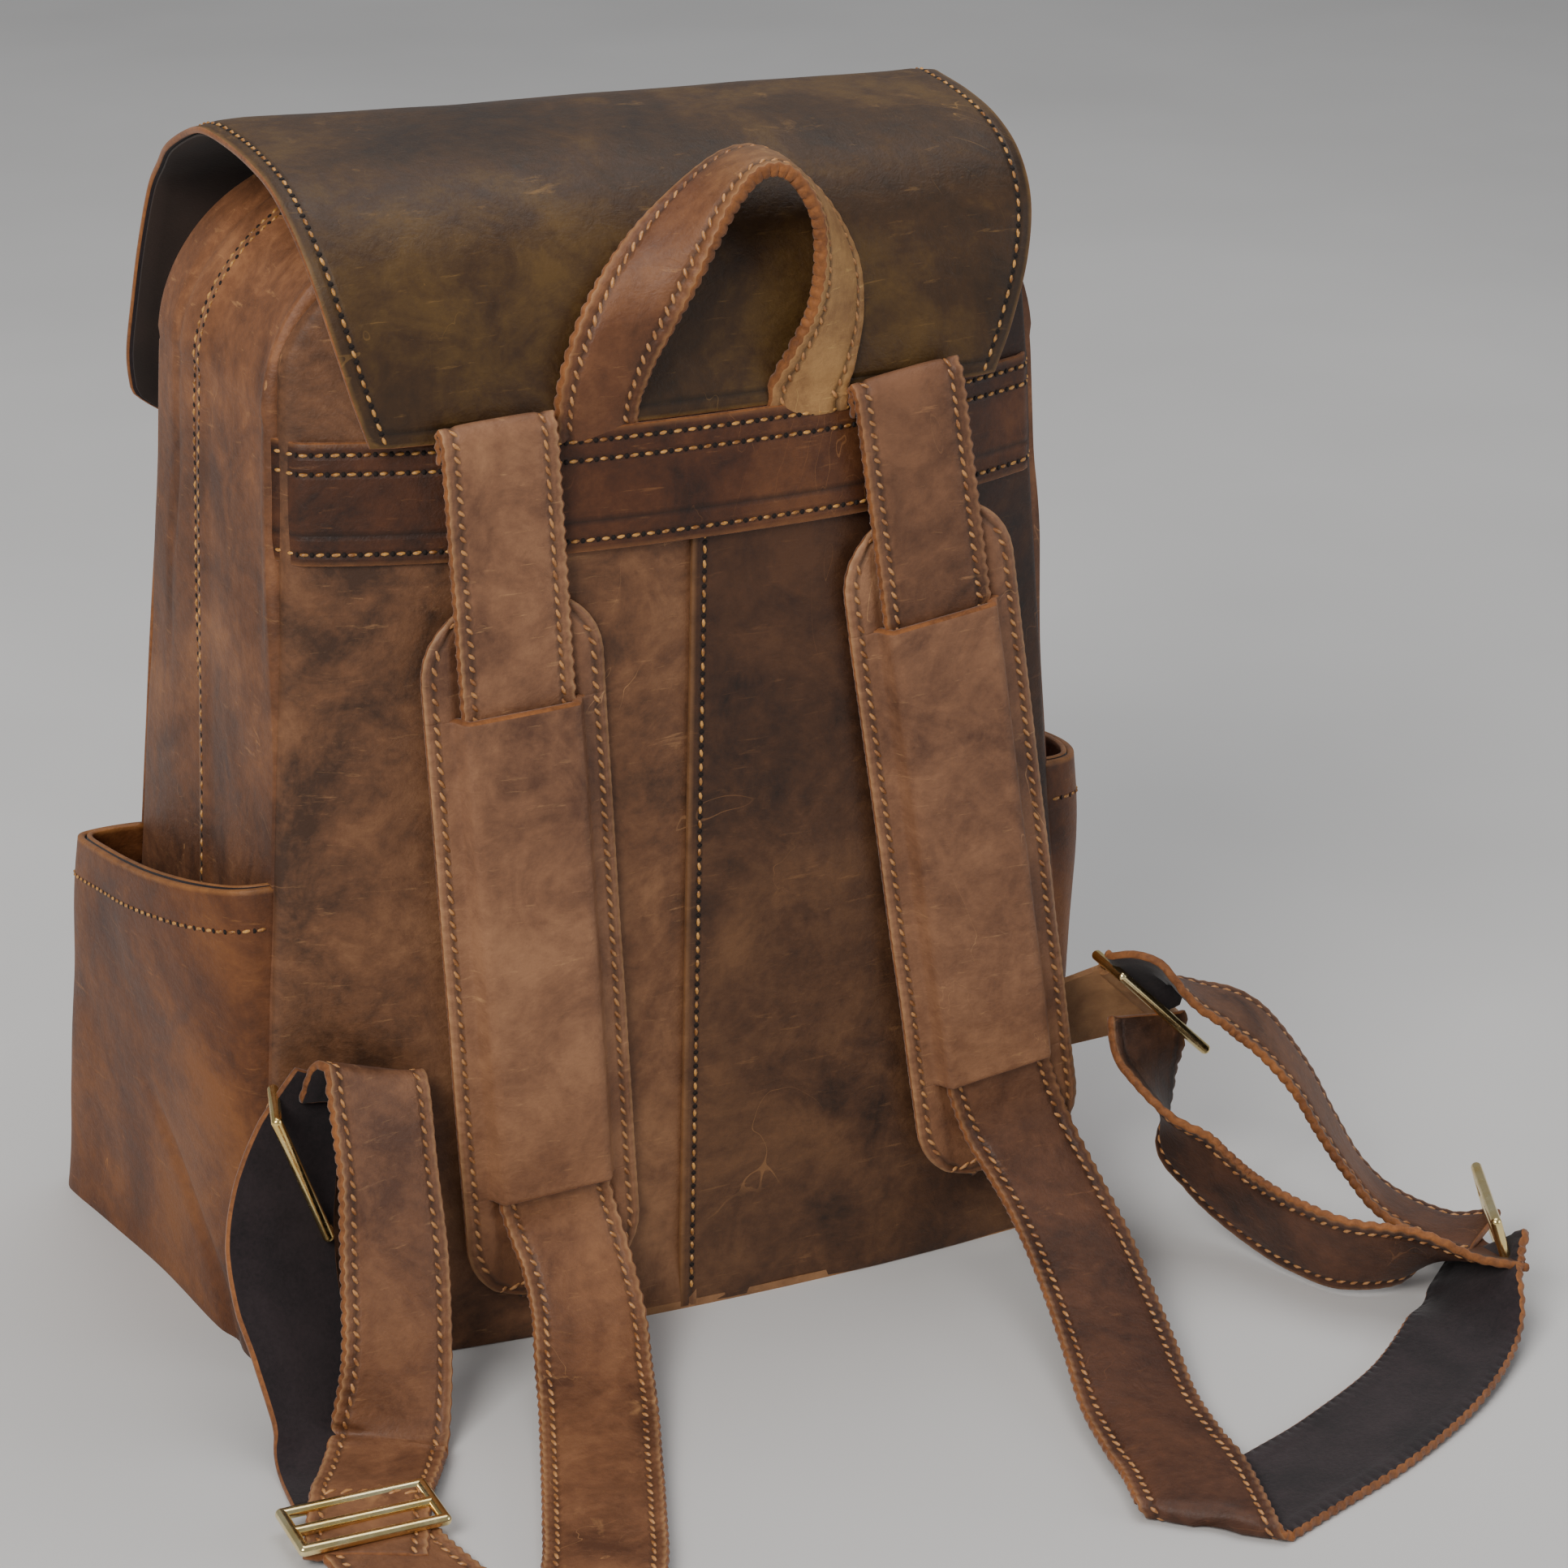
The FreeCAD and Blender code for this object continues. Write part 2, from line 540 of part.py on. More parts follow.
def make_legs():
    """Strap leg between the ring and the slider, doubled back through the ring."""
    left = ribbon(
        [((126, 125, 112), (1, 0, 0)), ((129, 136, 80), (1, 0, 0)), ((132, 149, 40), (1, 0, 0)),
         ((136, 161, 10), (1, 0.1, 0)), ((141, 172, 11), (1, 0.1, 0))], STRAP_WIDTH, STRAP_HIDE)
    left_back = ribbon(
        [((130, 131, 122), (1, 0, 0)), ((146, 150, 98), (1, 0.2, 0)), ((157, 166, 60), (1, 0.2, 0)),
         ((157, 178, 22), (1, 0.1, 0))], STRAP_WIDTH, STRAP_HIDE)
    right = ribbon(
        [((-206, 122, 88), (0.5, 0.1, 0.8)), ((-225, 145, 62), (0.3, 0.6, 0.7)),
         ((-244, 176, 36), (0.4, 0.9, 0.2)), ((-260, 194, 24), (0.4, 0.9, 0.05))],
        STRAP_WIDTH, STRAP_HIDE)
    right_back = ribbon(
        [((-188, 128.5, 80), (0.5, 0, 0.8)), ((-192, 150, 54), (0.5, 0.4, 0.6)),
         ((-206, 190, 32), (0.4, 0.7, 0.4)), ((-240, 222, 27), (0.4, 0.9, 0.1))],
        STRAP_WIDTH, STRAP_HIDE)
    return {"strap_leg_left": left, "strap_return_left": left_back,
            "strap_leg_right": right, "strap_return_right": right_back}


# ---- assembly ------------------------------------------------------------------------------
def build():
    closures = make_closures()
    snaps = [closures["snap_female_left"], closures["snap_female_right"]]
    pieces = {}
    for group in (make_base(), make_walls(), make_zip(), make_lining(), make_band(), make_flap(),
                  closures, make_front_pocket(snaps), make_side_pockets(), make_handle(),
                  make_lower_straps(), make_legs()):
        pieces.update(group)
    for side in ("left", "right"):
        for group in (make_strap(side), make_ring(side), make_slider(side)):
            pieces.update(group)
    return pieces


os.makedirs("parts", exist_ok=True)
for name, shape in build().items():
    shape.exportStep("parts/" + name + ".step")
    print(name, shape.isValid(), len(shape.Solids), round(shape.Volume), shape.BoundBox)
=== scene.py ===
import math

import bmesh
import bpy
import numpy as np
from mathutils import Matrix, Vector, noise


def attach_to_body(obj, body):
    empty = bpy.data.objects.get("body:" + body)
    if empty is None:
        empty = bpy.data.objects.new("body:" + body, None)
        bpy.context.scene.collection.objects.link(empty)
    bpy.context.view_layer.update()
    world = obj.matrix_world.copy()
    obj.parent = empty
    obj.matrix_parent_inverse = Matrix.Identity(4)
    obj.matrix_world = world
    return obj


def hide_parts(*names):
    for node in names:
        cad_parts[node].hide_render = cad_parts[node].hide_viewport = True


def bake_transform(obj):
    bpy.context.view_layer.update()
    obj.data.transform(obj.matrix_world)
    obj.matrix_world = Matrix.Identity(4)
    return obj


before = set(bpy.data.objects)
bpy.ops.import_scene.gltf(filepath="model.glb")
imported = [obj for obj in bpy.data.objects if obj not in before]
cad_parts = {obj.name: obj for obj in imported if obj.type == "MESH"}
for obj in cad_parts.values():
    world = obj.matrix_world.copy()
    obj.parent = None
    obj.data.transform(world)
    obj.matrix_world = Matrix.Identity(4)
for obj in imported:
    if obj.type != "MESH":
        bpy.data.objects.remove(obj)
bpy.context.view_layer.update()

MM = 0.001

# ---- driving sizes, millimetres --------------
# leather and cloth thicknesses
HIDE = 2.4                    # body panels
THIN_HIDE = 2.3               # band and flap
POCKET_HIDE = 2.6             # pockets and closing straps
HEM_HIDE = 2.0
LINING = 0.8
STRAP_HIDE = 3.4
PAD_HIDE = 3.5
LEG_HIDE = 3.0                # legs at the rings, and the pads' ends
HANDLE_HIDE = 4.6

# stitch row to raw edge
EDGE_IN = 4.0
BAND_ROWS = (3.6, 10.0)
FLAP_ROW = 5.0

# body levels: z, back half width, back corner y, bulge of the back, front half width, front y
LEVELS = np.array([
    (0.0, 157.0, 92.0, 12.0, 157.0, -90.0),
    (150.0, 147.0, 86.0, 19.5, 149.0, -71.0),
    (292.0, 137.0, 80.5, 26.0, 141.0, -53.0),
    (332.0, 135.5, 79.0, 25.0, 139.5, -49.5),
    (400.0, 131.0, 74.0, 22.0, 136.0, -44.0),
])
FRONT_BULGE = 6.5
ARCH_Z = 336.0
ARCH_R = 60.0
ARCH_HALF = 138.0
ARCH_SPREAD = 4.0             # how much wider the arch is in front than behind
BAND_LOW = 292.0
BAND_HIGH = 332.0

STRAP_WIDTH = 39.0
STRAP_TOP_Z = 338.5
PAD_WIDTH = 64.0
PAD_LENGTH = 258.0
PAD_SLOTS = (38.0, 216.0)
SIDES = {"left": (72.0, 3.0, 60.0), "right": (-74.0, 8.5, 49.0)}   # top x, lean, pad start


# ---- small maths -----------------------------
def vec(*values):
    return np.array(values, float)


def unit(v):
    """A vector, or each row of a table, made 1 long."""
    return v / (np.linalg.norm(v, axis=-1, keepdims=True) + 1e-12)


def smooth(t):
    t = min(1.0, max(0.0, t))
    return t * t * (3 - 2 * t)


def level(z):
    """Body sizes at height z: back half, back y, bulge, front half, front y."""
    return [float(np.interp(z, LEVELS[:, 0], LEVELS[:, k])) for k in range(1, 6)]


def ripple(p, size, seed):
    """Smooth noise from -1 to 1 over features of about this size."""
    return noise.noise(Vector((p[0] / size + seed, p[1] / size, p[2] / size)))


def back_y(x, z):
    """Outer face of the back panels."""
    half, y, bulge = level(z)[:3]
    t = min(1.0, abs(x) / half)
    return y + bulge * (1 - t ** 2.5)


def run_of(points, axis=0):
    """Distance along a line of points from its first one, or along each line of a grid."""
    steps = np.linalg.norm(np.diff(points, axis=axis), axis=-1)
    return np.insert(np.cumsum(steps, axis=axis), 0, 0.0, axis=axis)


def read_at(at, run, table):
    """The table's rows, read between them at these distances."""
    return np.array([np.interp(at, run, column) for column in table.T]).T


def catmull(points, count):
    """Smooth curve through the points, sampled evenly by length."""
    p = np.array(points, float)
    p = np.vstack([2 * p[0] - p[1], p, 2 * p[-1] - p[-2]])
    fine = []
    for i in range(1, len(p) - 2):
        for t in np.linspace(0, 1, 24, endpoint=False):
            a, b, c, d = p[i - 1], p[i], p[i + 1], p[i + 2]
            fine.append(0.5 * (2 * b + (c - a) * t + (2 * a - 5 * b + 4 * c - d) * t ** 2
                               + (3 * b - a - 3 * c + d) * t ** 3))
    fine.append(p[-2])
    fine = np.array(fine)
    run = run_of(fine[:, :3])
    return read_at(np.linspace(0, run[-1], count), run, fine)


def corner_cut(end, corner):
    """How far a rounded corner cuts in, at this distance from the end."""
    return corner - math.sqrt(max(0.0, corner ** 2 - (corner - min(end, corner)) ** 2))


# ---- materials -------------------------------
def linear(rgb):
    """sRGB 0-255 to a linear RGBA colour."""
    values = [c / 255 for c in rgb]
    return [c / 12.92 if c <= 0.04045 else ((c + 0.055) / 1.055) ** 2.4 for c in values] + [1.0]


class Nodes:
    """Short-hand for building one material's nodes."""

    def __init__(self, name):
        self.material = bpy.data.materials.new(name)
        self.material.use_nodes = True
        self.tree = self.material.node_tree
        self.place = self.add("ShaderNodeTexCoord").outputs["Object"]

    def put(self, value, socket):
        """Give a socket a plain value, or link another node's output to it."""
        if isinstance(value, (int, float, list, tuple)):
            socket.default_value = value
        else:
            self.tree.links.new(value, socket)

    def add(self, kind, **values):
        node = self.tree.nodes.new(kind)
        for key, value in values.items():
            if hasattr(node, key):
                setattr(node, key, value)
            else:
                self.put(value, node.inputs[key])
        return node

    def shaded(self, values):
        """The material, with these inputs given to its shader."""
        for key, value in values.items():
            self.put(value, self.tree.nodes["Principled BSDF"].inputs[key])
        return self.material

    def noise(self, scale, detail=4.0, rough=0.55, distort=0.0, upright=1.0):
        """Noise over the object; upright is how much finer it is along Z."""
        place = self.place
        if upright != 1.0:
            finer = self.add("ShaderNodeMapping", Vector=place, Scale=(1.0, 1.0, upright))
            place = finer.outputs["Vector"]
        return self.add("ShaderNodeTexNoise", Vector=place, Scale=scale, Detail=detail,
                        Roughness=rough, Distortion=distort).outputs["Fac"]

    def math(self, operation, *values):
        node = self.add("ShaderNodeMath", operation=operation)
        for socket, value in zip(node.inputs, values):
            self.put(value, socket)
        return node.outputs[0]

    def weighted(self, *parts):
        """Sum of (value, weight) pairs."""
        total = 0.0
        for value, weight in parts:
            total = self.math("ADD", total, self.math("MULTIPLY", value, weight))
        return total

    def ramp(self, value, *stops):
        """Colour along a value; a stop is its position and a grey or an RGBA list."""
        node = self.add("ShaderNodeValToRGB", Fac=value)
        ramp = node.color_ramp
        while len(ramp.elements) < len(stops):
            ramp.elements.new(0.5)
        for element, (at, colour) in zip(ramp.elements, stops):
            element.position = at
            element.color = colour if isinstance(colour, list) else [colour] * 3 + [1]
        return node.outputs["Color"]

    def mix(self, factor, a, b, blend="MIX"):
        node = self.add("ShaderNodeMix", data_type="RGBA", blend_type=blend)
        sockets = [s for s in node.inputs if s.enabled]
        for socket, value in zip(sockets, (factor, a, b)):
            self.put(value, socket)
        return [s for s in node.outputs if s.enabled][0]

    def bump(self, height, strength, distance, **under):
        return self.add("ShaderNodeBump", Height=height, Strength=strength, Distance=distance,
                        **under).outputs["Normal"]


def grain_leather(name, dark, middle, light, scratch, rows=(EDGE_IN,), painted_light_ramp=None):
    """Waxed pull-up hide: clouded tones, pale scratches, and painted shade along the groove of each
    stitch row.

    painted_light_ramp is (axis, from, to, rgb factor): painted light and shade, with some of the
    leather's own tone on the right back panel; the tone is multiplied by the factor towards 'to'."""
    n = Nodes(name)
    clouds = n.noise(11.0, 5.0, 0.62, 0.6)
    patches = n.noise(34.0, 6.0, 0.7, 1.2)
    grit = n.noise(210.0, 4.0, 0.7)
    tone = n.weighted((clouds, 0.55), (patches, 0.30), (grit, 0.15))
    base = n.ramp(tone, (0.40, linear(dark)), (0.5, linear(middle)), (0.61, linear(light)))

    lines = n.noise(9.0, 3.0, 0.5, 3.2, upright=0.55)
    line = n.math("LESS_THAN", n.math("ABSOLUTE", n.math("SUBTRACT", lines, 0.5)), 0.0016)
    where = n.ramp(n.noise(16.0, 2.0), (0.58, 0), (0.66, 1))
    fine = n.noise(60.0, 4.0, 0.7, 0.4, upright=7.0)
    scuffs = n.ramp(fine, (0.62, 0), (0.76, 1))
    base = n.mix(n.math("MULTIPLY", scuffs, 0.42), base, linear(scratch))
    base = n.mix(n.math("MULTIPLY", n.math("MULTIPLY", line, where), 0.5), base, linear(scratch))

    # painted light and shade: the colour scaled by a ramp along one axis
    if painted_light_ramp is not None:
        axis, low, high, factor = painted_light_ramp
        split = n.add("ShaderNodeSeparateXYZ", Vector=n.place)
        span = n.add("ShaderNodeMapRange", Value=split.outputs[axis],
                     **{"From Min": low, "From Max": high})
        painted_light_tone = n.mix(1.0, base, list(factor) + [1.0], "MULTIPLY")
        base = n.mix(span.outputs["Result"], base, painted_light_tone)

    rim = n.add("ShaderNodeAttribute", attribute_name="rim").outputs["Fac"]
    wear = n.ramp(n.math("DIVIDE", rim, 3.0), (0.05, 1), (0.5, 0))
    rag = n.noise(140.0, 3.0)
    base = n.mix(n.math("MULTIPLY", wear, n.math("MULTIPLY", rag, 0.7)), base, linear(scratch))
    pebble = n.noise(900.0, 3.0, 0.6)
    creases = n.noise(120.0, 5.0, 0.65, 0.8, upright=1.4)
    normal = n.bump(creases, 0.34, 0.0013, Normal=n.bump(pebble, 0.28, 0.0006))
    # painted shade in the groove along each stitch row, with a bump that sinks the groove
    groove = None
    for row in rows:
        near = n.math("ABSOLUTE", n.math("SUBTRACT", rim, row))
        dip = n.math("SUBTRACT", 1.0, n.math("MINIMUM", n.math("DIVIDE", near, 1.7), 1.0))
        groove = dip if groove is None else n.math("MAXIMUM", groove, dip)
    if groove is not None:
        base = n.mix(n.math("MULTIPLY", groove, 0.62), base, linear([c * 0.45 for c in dark]))
        normal = n.bump(n.math("SUBTRACT", 1.0, groove), 0.5, 0.0008, Normal=normal)
    dull = n.ramp(n.weighted((patches, 0.6), (pebble, 0.4)), (0.3, 0.42), (0.7, 0.64))
    return n.shaded({"Base Color": base, "Normal": normal, "Roughness": dull,
                     "Specular IOR Level": 0.36, "Sheen Weight": 0.02, "Sheen Roughness": 0.5})


def plain_leather(name, dark, light, scale, rough):
    """Raw cut edge or flesh side: fibrous, matt."""
    n = Nodes(name)
    fibre = n.noise(scale, 6.0, 0.7, 0.5)
    tone = n.weighted((fibre, 0.5), (n.noise(scale / 12, 3.0), 0.5))
    colour = n.ramp(tone, (0.35, linear(dark)), (0.65, linear(light)))
    return n.shaded({"Base Color": colour, "Normal": n.bump(fibre, 0.4, 0.0004),
                     "Roughness": rough, "Specular IOR Level": 0.25, "Sheen Weight": 0.15})


def thread_material(name, dark, light):
    n = Nodes(name)
    tones = n.noise(260.0, 2.0)
    colour = n.ramp(tones, (0.38, linear(dark)), (0.56, linear(light)))
    twist = n.noise(1300.0, 2.0)
    return n.shaded({"Base Color": colour, "Normal": n.bump(twist, 0.6, 0.0003), "Roughness": 0.36})


def brass_material():
    n = Nodes("pale_brass")
    tarnish = n.noise(70.0, 4.0)
    colour = n.ramp(tarnish, (0.35, linear((236, 206, 132))), (0.65, linear((252, 236, 184))))
    dull = n.ramp(n.noise(500.0, 3.0), (0.3, 0.14), (0.75, 0.30))
    return n.shaded({"Base Color": colour, "Roughness": dull, "Metallic": 1.0})


def cloth_material():
    n = Nodes("dark_lining")
    weave = n.noise(700.0, 2.0, upright=3.0)
    cloud = n.noise(18.0, 3.0)
    colour = n.ramp(cloud, (0.35, linear((34, 24, 20))), (0.65, linear((58, 42, 34))))
    return n.shaded({"Base Color": colour, "Normal": n.bump(weave, 0.35, 0.0004),
                     "Roughness": 0.85, "Sheen Weight": 0.1})


# dark discs laid on the leather between stitches: painted shade of the stitch holes
def hole_shade_material():
    return Nodes("stitch_hole_shade").shaded({"Base Color": linear((26, 15, 10)), "Roughness": 0.9})


# tones of a hide: dark, middle, light, scratch
POCKET_TONES = ((66, 35, 16), (98, 56, 27), (128, 79, 41), (180, 122, 66))
# right back panel: darker than the left panel's hide partly by the leather's own tone and partly by
# painted shade on the side away from the key light; its ramp darkens the top more, painted shade
# under the band and pads over a darker tone
BACK = grain_leather("back_hide", (44, 27, 17), (80, 51, 31), (108, 73, 46), (150, 106, 66),
                     painted_light_ramp=("Z", 0.14, 0.30, (0.5, 0.42, 0.38)))
SEAM = grain_leather("seam_hide", (64, 41, 26), (108, 71, 46), (140, 98, 66), (186, 138, 92), ())
# gusset: its ramp lightens the top, painted light where the light falls from above
BODY = grain_leather("body_hide", (76, 45, 26), (110, 69, 42), (144, 97, 62), (190, 140, 90), (),
                     painted_light_ramp=("Z", 0.26, 0.39, (1.5, 1.55, 1.6)))
POCKET = grain_leather("pocket_hide", *POCKET_TONES, ())
FRONT = grain_leather("front_pocket_hide", *POCKET_TONES)
BAND = grain_leather("band_hide", (46, 24, 12), (76, 41, 20), (104, 62, 33), (150, 100, 58),
                     BAND_ROWS)
# flap: the brown leather's tones carry a yellow-green cast of the light, partly painted light
FLAP = grain_leather("flap_hide", (42, 27, 13), (62, 40, 18), (88, 63, 28), (150, 112, 60),
                     (FLAP_ROW,))
# its ramp darkens the strap towards the floor: painted shade near the floor
STRAP = grain_leather("strap_hide", (92, 60, 42), (128, 88, 62), (156, 112, 80), (208, 160, 110),
                      painted_light_ramp=("Z", 0.12, 0.03, (0.8, 0.72, 0.63)))
# the strap leather darkened for the straps on the right side, away from the key light: painted
# shade; its ramp darkens it more towards the floor, painted shade near the floor
SHADED_STRAP = grain_leather("dark_strap_hide", (62, 38, 24), (98, 64, 43), (128, 87, 60),
                           (188, 136, 90), painted_light_ramp=("Z", 0.10, 0.012, (0.55, 0.46, 0.42)))
# handle: its ramp lightens the right leg, a painted highlight
HANDLE = grain_leather("handle_hide", (70, 41, 23), (102, 62, 37), (130, 85, 53), (190, 138, 86),
                       painted_light_ramp=("X", 0.0, -0.034, (1.9, 2.5, 2.3)))
EDGE = plain_leather("raw_edge", (88, 50, 26), (156, 98, 52), 420.0, 0.62)
FLESH = plain_leather("flesh_side", (27, 22, 24), (50, 40, 42), 620.0, 0.92)
THREADS = thread_material("waxed_thread", (132, 84, 38), (200, 146, 78))
CORD = thread_material("edge_thread", (140, 90, 50), (188, 134, 82))
HOLE_SHADE = hole_shade_material()
BRASS = brass_material()
CLOTH = cloth_material()


# ---- mesh building ---------------------------
def new_piece(name, verts, faces, materials, kinds):
    """Smooth object from points in mm; kinds are the faces' material numbers."""
    mesh = bpy.data.meshes.new(name)
    mesh.from_pydata([tuple(v) for v in np.array(verts) * MM], [], [tuple(f) for f in faces])
    for material in materials:
        mesh.materials.append(material)
    mesh.polygons.foreach_set("material_index", kinds)
    mesh.polygons.foreach_set("use_smooth", [True] * len(faces))
    piece = bpy.data.objects.new(name, mesh)
    bpy.context.collection.objects.link(piece)
    return piece


def grid_normals(points, flip):
    along = np.gradient(points, axis=0)
    across = np.gradient(points, axis=1)
    return unit(np.cross(across, along) if flip else np.cross(along, across))


def border_of(rows, columns):
    """Grid indices round the border, each with its inner neighbour."""
    last_r, last_c = rows - 1, columns - 1
    loop = [(0, j) for j in range(last_c)] + [(i, last_c) for i in range(last_r)]
    loop += [(last_r, j) for j in range(last_c, 0, -1)] + [(i, 0) for i in range(last_r, 0, -1)]
    inner = [(min(max(i, 1), last_r - 1), min(max(j, 1), last_c - 1)) for i, j in loop]
    return loop, inner


def edge_sine(edge, inward):
    """Sine of the angle between an edge and the rows that meet it, per row."""
    tangent = np.gradient(edge, axis=0)
    cross = np.linalg.norm(np.cross(tangent, inward), axis=1)
    size = np.linalg.norm(tangent, axis=1) * np.linalg.norm(inward, axis=1) + 1e-12
    return np.maximum(cross / size, 0.3)


def rim_distance(points, edges):
    """Distance in mm from each grid point to the nearest of the named edges."""
    run_u, run_v = run_of(points), run_of(points, 1)
    far = np.full(points.shape[:2], 40.0)
    first = edge_sine(points[:, 0], points[:, 1] - points[:, 0])[:, None]
    last = edge_sine(points[:, -1], points[:, -2] - points[:, -1])[:, None]
    choices = {"u0": run_u, "u1": run_u[-1:] - run_u, "v0": run_v * first,
               "v1": (run_v[:, -1:] - run_v) * last}
    for key in edges:
        far = np.minimum(far, choices[key])
    return far


def hide_mesh(name, points, thick, materials, flip, edges):
    """Closed sheet of leather: grid of outer points, a thickness, and rounded cut edges."""
    rows, columns = points.shape[:2]
    normals = grid_normals(points, flip)
    inner = points - normals * thick
    rim = rim_distance(points, edges)
    loop, inside = border_of(rows, columns)
    outer_rim = np.array([points[k] for k in loop])
    out = np.array([points[a] - points[b] for a, b in zip(loop, inside)])
    rim_normals = np.array([normals[k] for k in loop])
    out = unit(out - rim_normals * np.sum(out * rim_normals, axis=1, keepdims=True))
    rings = [outer_rim + out * thick * push - rim_normals * thick * drop
             for push, drop in ((0.16, 0.12), (0.26, 0.5), (0.16, 0.88))]

    count = rows * columns
    turn = -1 if flip else 1
    faces, kinds = [], []
    for i in range(rows - 1):
        for j in range(columns - 1):
            a, b = i * columns + j, (i + 1) * columns + j
            quad = (a, b, b + 1, a + 1)
            faces += [quad[::turn], [count + k for k in quad[::-turn]]]
            kinds += [0, 2]
    size = len(loop)
    tracks = [[i * columns + j for i, j in loop]]
    tracks += [[2 * count + r * size + k for k in range(size)] for r in range(3)]
    tracks += [[count + i * columns + j for i, j in loop]]
    for one, two in zip(tracks, tracks[1:]):
        for k in range(size):
            m = (k + 1) % size
            faces.append((one[k], one[m], two[m], two[k])[::turn])
            kinds.append(1)
    verts = np.vstack([points.reshape(-1, 3), inner.reshape(-1, 3)] + rings)
    piece = new_piece(name, verts, faces, materials, kinds)
    values = np.concatenate([rim.ravel(), rim.ravel(), np.zeros(3 * size)]).astype(np.float32)
    piece.data.attributes.new("rim", "FLOAT", "POINT").data.foreach_set("value", values)
    shell = bmesh.new()
    shell.from_mesh(piece.data)
    bmesh.ops.recalc_face_normals(shell, faces=shell.faces)
    shell.to_mesh(piece.data)
    shell.free()
    return piece


def evaluate(surface, rows, columns):
    """Grid of points from surface(u, v); rows and columns are counts or lists of positions."""
    us = np.linspace(0, 1, rows) if isinstance(rows, int) else rows
    vs = np.linspace(0, 1, columns) if isinstance(columns, int) else columns
    return np.array([[surface(u, v) for v in vs] for u in us])


class Track:
    """A grid of points that can be read between its rows and columns."""

    def __init__(self, points, flip):
        self.points = points
        self.normals = grid_normals(points, flip)

    def beside(self, edge, inset=EDGE_IN, start=0.0, end=1.0, count=200):
        """Points and normals at a fixed distance inside one edge of the grid."""
        points, normals = self.points, self.normals
        if edge[0] == "u":
            points, normals = points.transpose(1, 0, 2), normals.transpose(1, 0, 2)
        if edge[1] == "1":
            points, normals = points[:, ::-1], normals[:, ::-1]
        sine = edge_sine(points[:, 0], points[:, 1] - points[:, 0])
        places, ups = [], []
        for at in np.linspace(start, end, count + 1) * (len(points) - 1):
            a = min(int(at), len(points) - 2)
            t = at - a
            row = points[a] * (1 - t) + points[a + 1] * t
            up = normals[a] * (1 - t) + normals[a + 1] * t
            deep = inset / (sine[a] * (1 - t) + sine[a + 1] * t)
            run = run_of(row)
            places.append(read_at(deep, run, row))
            ups.append(read_at(deep, run, up))
        return np.array(places), np.array(ups)

    def across(self, u):
        """Points and normals of one cross line, without its ends."""
        k = int(round(u * (len(self.points) - 1)))
        run = run_of(self.points[k])
        at = np.linspace(EDGE_IN, run[-1] - EDGE_IN, 40)
        return read_at(at, run, self.points[k]), read_at(at, run, self.normals[k])


def spindle(tip, rings, end):
    """Closed six-sided body along X: the x of its tip, rings of (x, radius), the x of its end."""
    verts = [(tip, 0, 0)]
    for x, r in rings:
        for k in range(6):
            a = math.pi * k / 3
            verts.append((x, r * math.cos(a), r * math.sin(a)))
    last = len(verts)
    verts.append((end, 0, 0))
    around = [(k, (k + 1) % 6) for k in range(6)]
    faces = [(0, 1 + b, 1 + a) for a, b in around]
    faces += [(last, last - 6 + a, last - 6 + b) for a, b in around]
    for base in range(1, last - 6, 6):
        faces += [(base + a, base + b, base + 6 + b, base + 6 + a) for a, b in around]
    return verts, faces


# a stitch and its hole, 1 or 2 wide; styles give mm, degrees, and the length as part of the pitch
STITCH = spindle(-0.5, ((-0.4, 0.34), (0.0, 0.5), (0.4, 0.34)), 0.5)
STITCH_HOLE = spindle(-0.5, ((0.0, 1.0),), 0.2)
ROW = {"pitch": 5.2, "length": 0.60, "width": 1.35, "slant": 5.0, "hole": 0.9}
LACE = {"pitch": 4.6, "length": 0.92, "width": 1.5, "slant": 32.0, "hole": 0.0}


def add_stitches(name, lines, body, blend=None, style=ROW):
    """Thread, with dark discs of painted shade for its holes, on the leather along (points, normals)
    lines.
    """
    width, hole = style["width"], style["hole"]
    verts, faces, kinds = [], [], []
    for points, normals in lines:
        run = run_of(points)
        total = max(2, int(run[-1] / style["pitch"]))
        step = run[-1] / total
        at = (np.arange(total) + 0.5) * step
        place, up = read_at(at, run, points), read_at(at, run, normals)
        before, after = (read_at(at + shift, run, points) for shift in (-0.8, 0.8))
        gap, gap_up = (read_at(at + step / 2, run, table) for table in (points, normals))
        for n in range(total):
            normal = unit(up[n])
            forward = unit(after[n] - before[n])
            side = unit(np.cross(normal, forward))
            tilt = math.radians(style["slant"] + 5 * math.sin(n * 2.3))
            ahead = forward * math.cos(tilt) + side * math.sin(tilt)
            across = np.cross(normal, ahead)
            length = step * (style["length"] + 0.04 * math.sin(n * 1.7))
            start = len(verts)
            for x, y, z in STITCH[0]:
                verts.append(place[n] + normal * (0.15 + z * width * 0.8 - abs(x) * 0.8)
                             + ahead * x * length + across * y * width)
            faces += [[start + k for k in face] for face in STITCH[1]]
            kinds += [0] * len(STITCH[1])
            # each dark disc between stitches is painted shade for the stitch hole
            if hole and n < total - 1:
                start = len(verts)
                lift = unit(gap_up[n])
                for z, x, y in STITCH_HOLE[0]:
                    verts.append(gap[n] + forward * x * hole + side * y * hole * 1.1
                                 + lift * (0.06 + 0.3 * z))
                faces += [[start + k for k in face] for face in STITCH_HOLE[1]]
                kinds += [1] * len(STITCH_HOLE[1])
    piece = new_piece(name, verts, faces, (CORD if style is LACE else THREADS, HOLE_SHADE), kinds)
    attach(piece, body, blend)


INSETS = (0.0, 0.9, 2.3, 4.0, 5.7, 8.0)      # columns of a laced strip, mm in from its edge


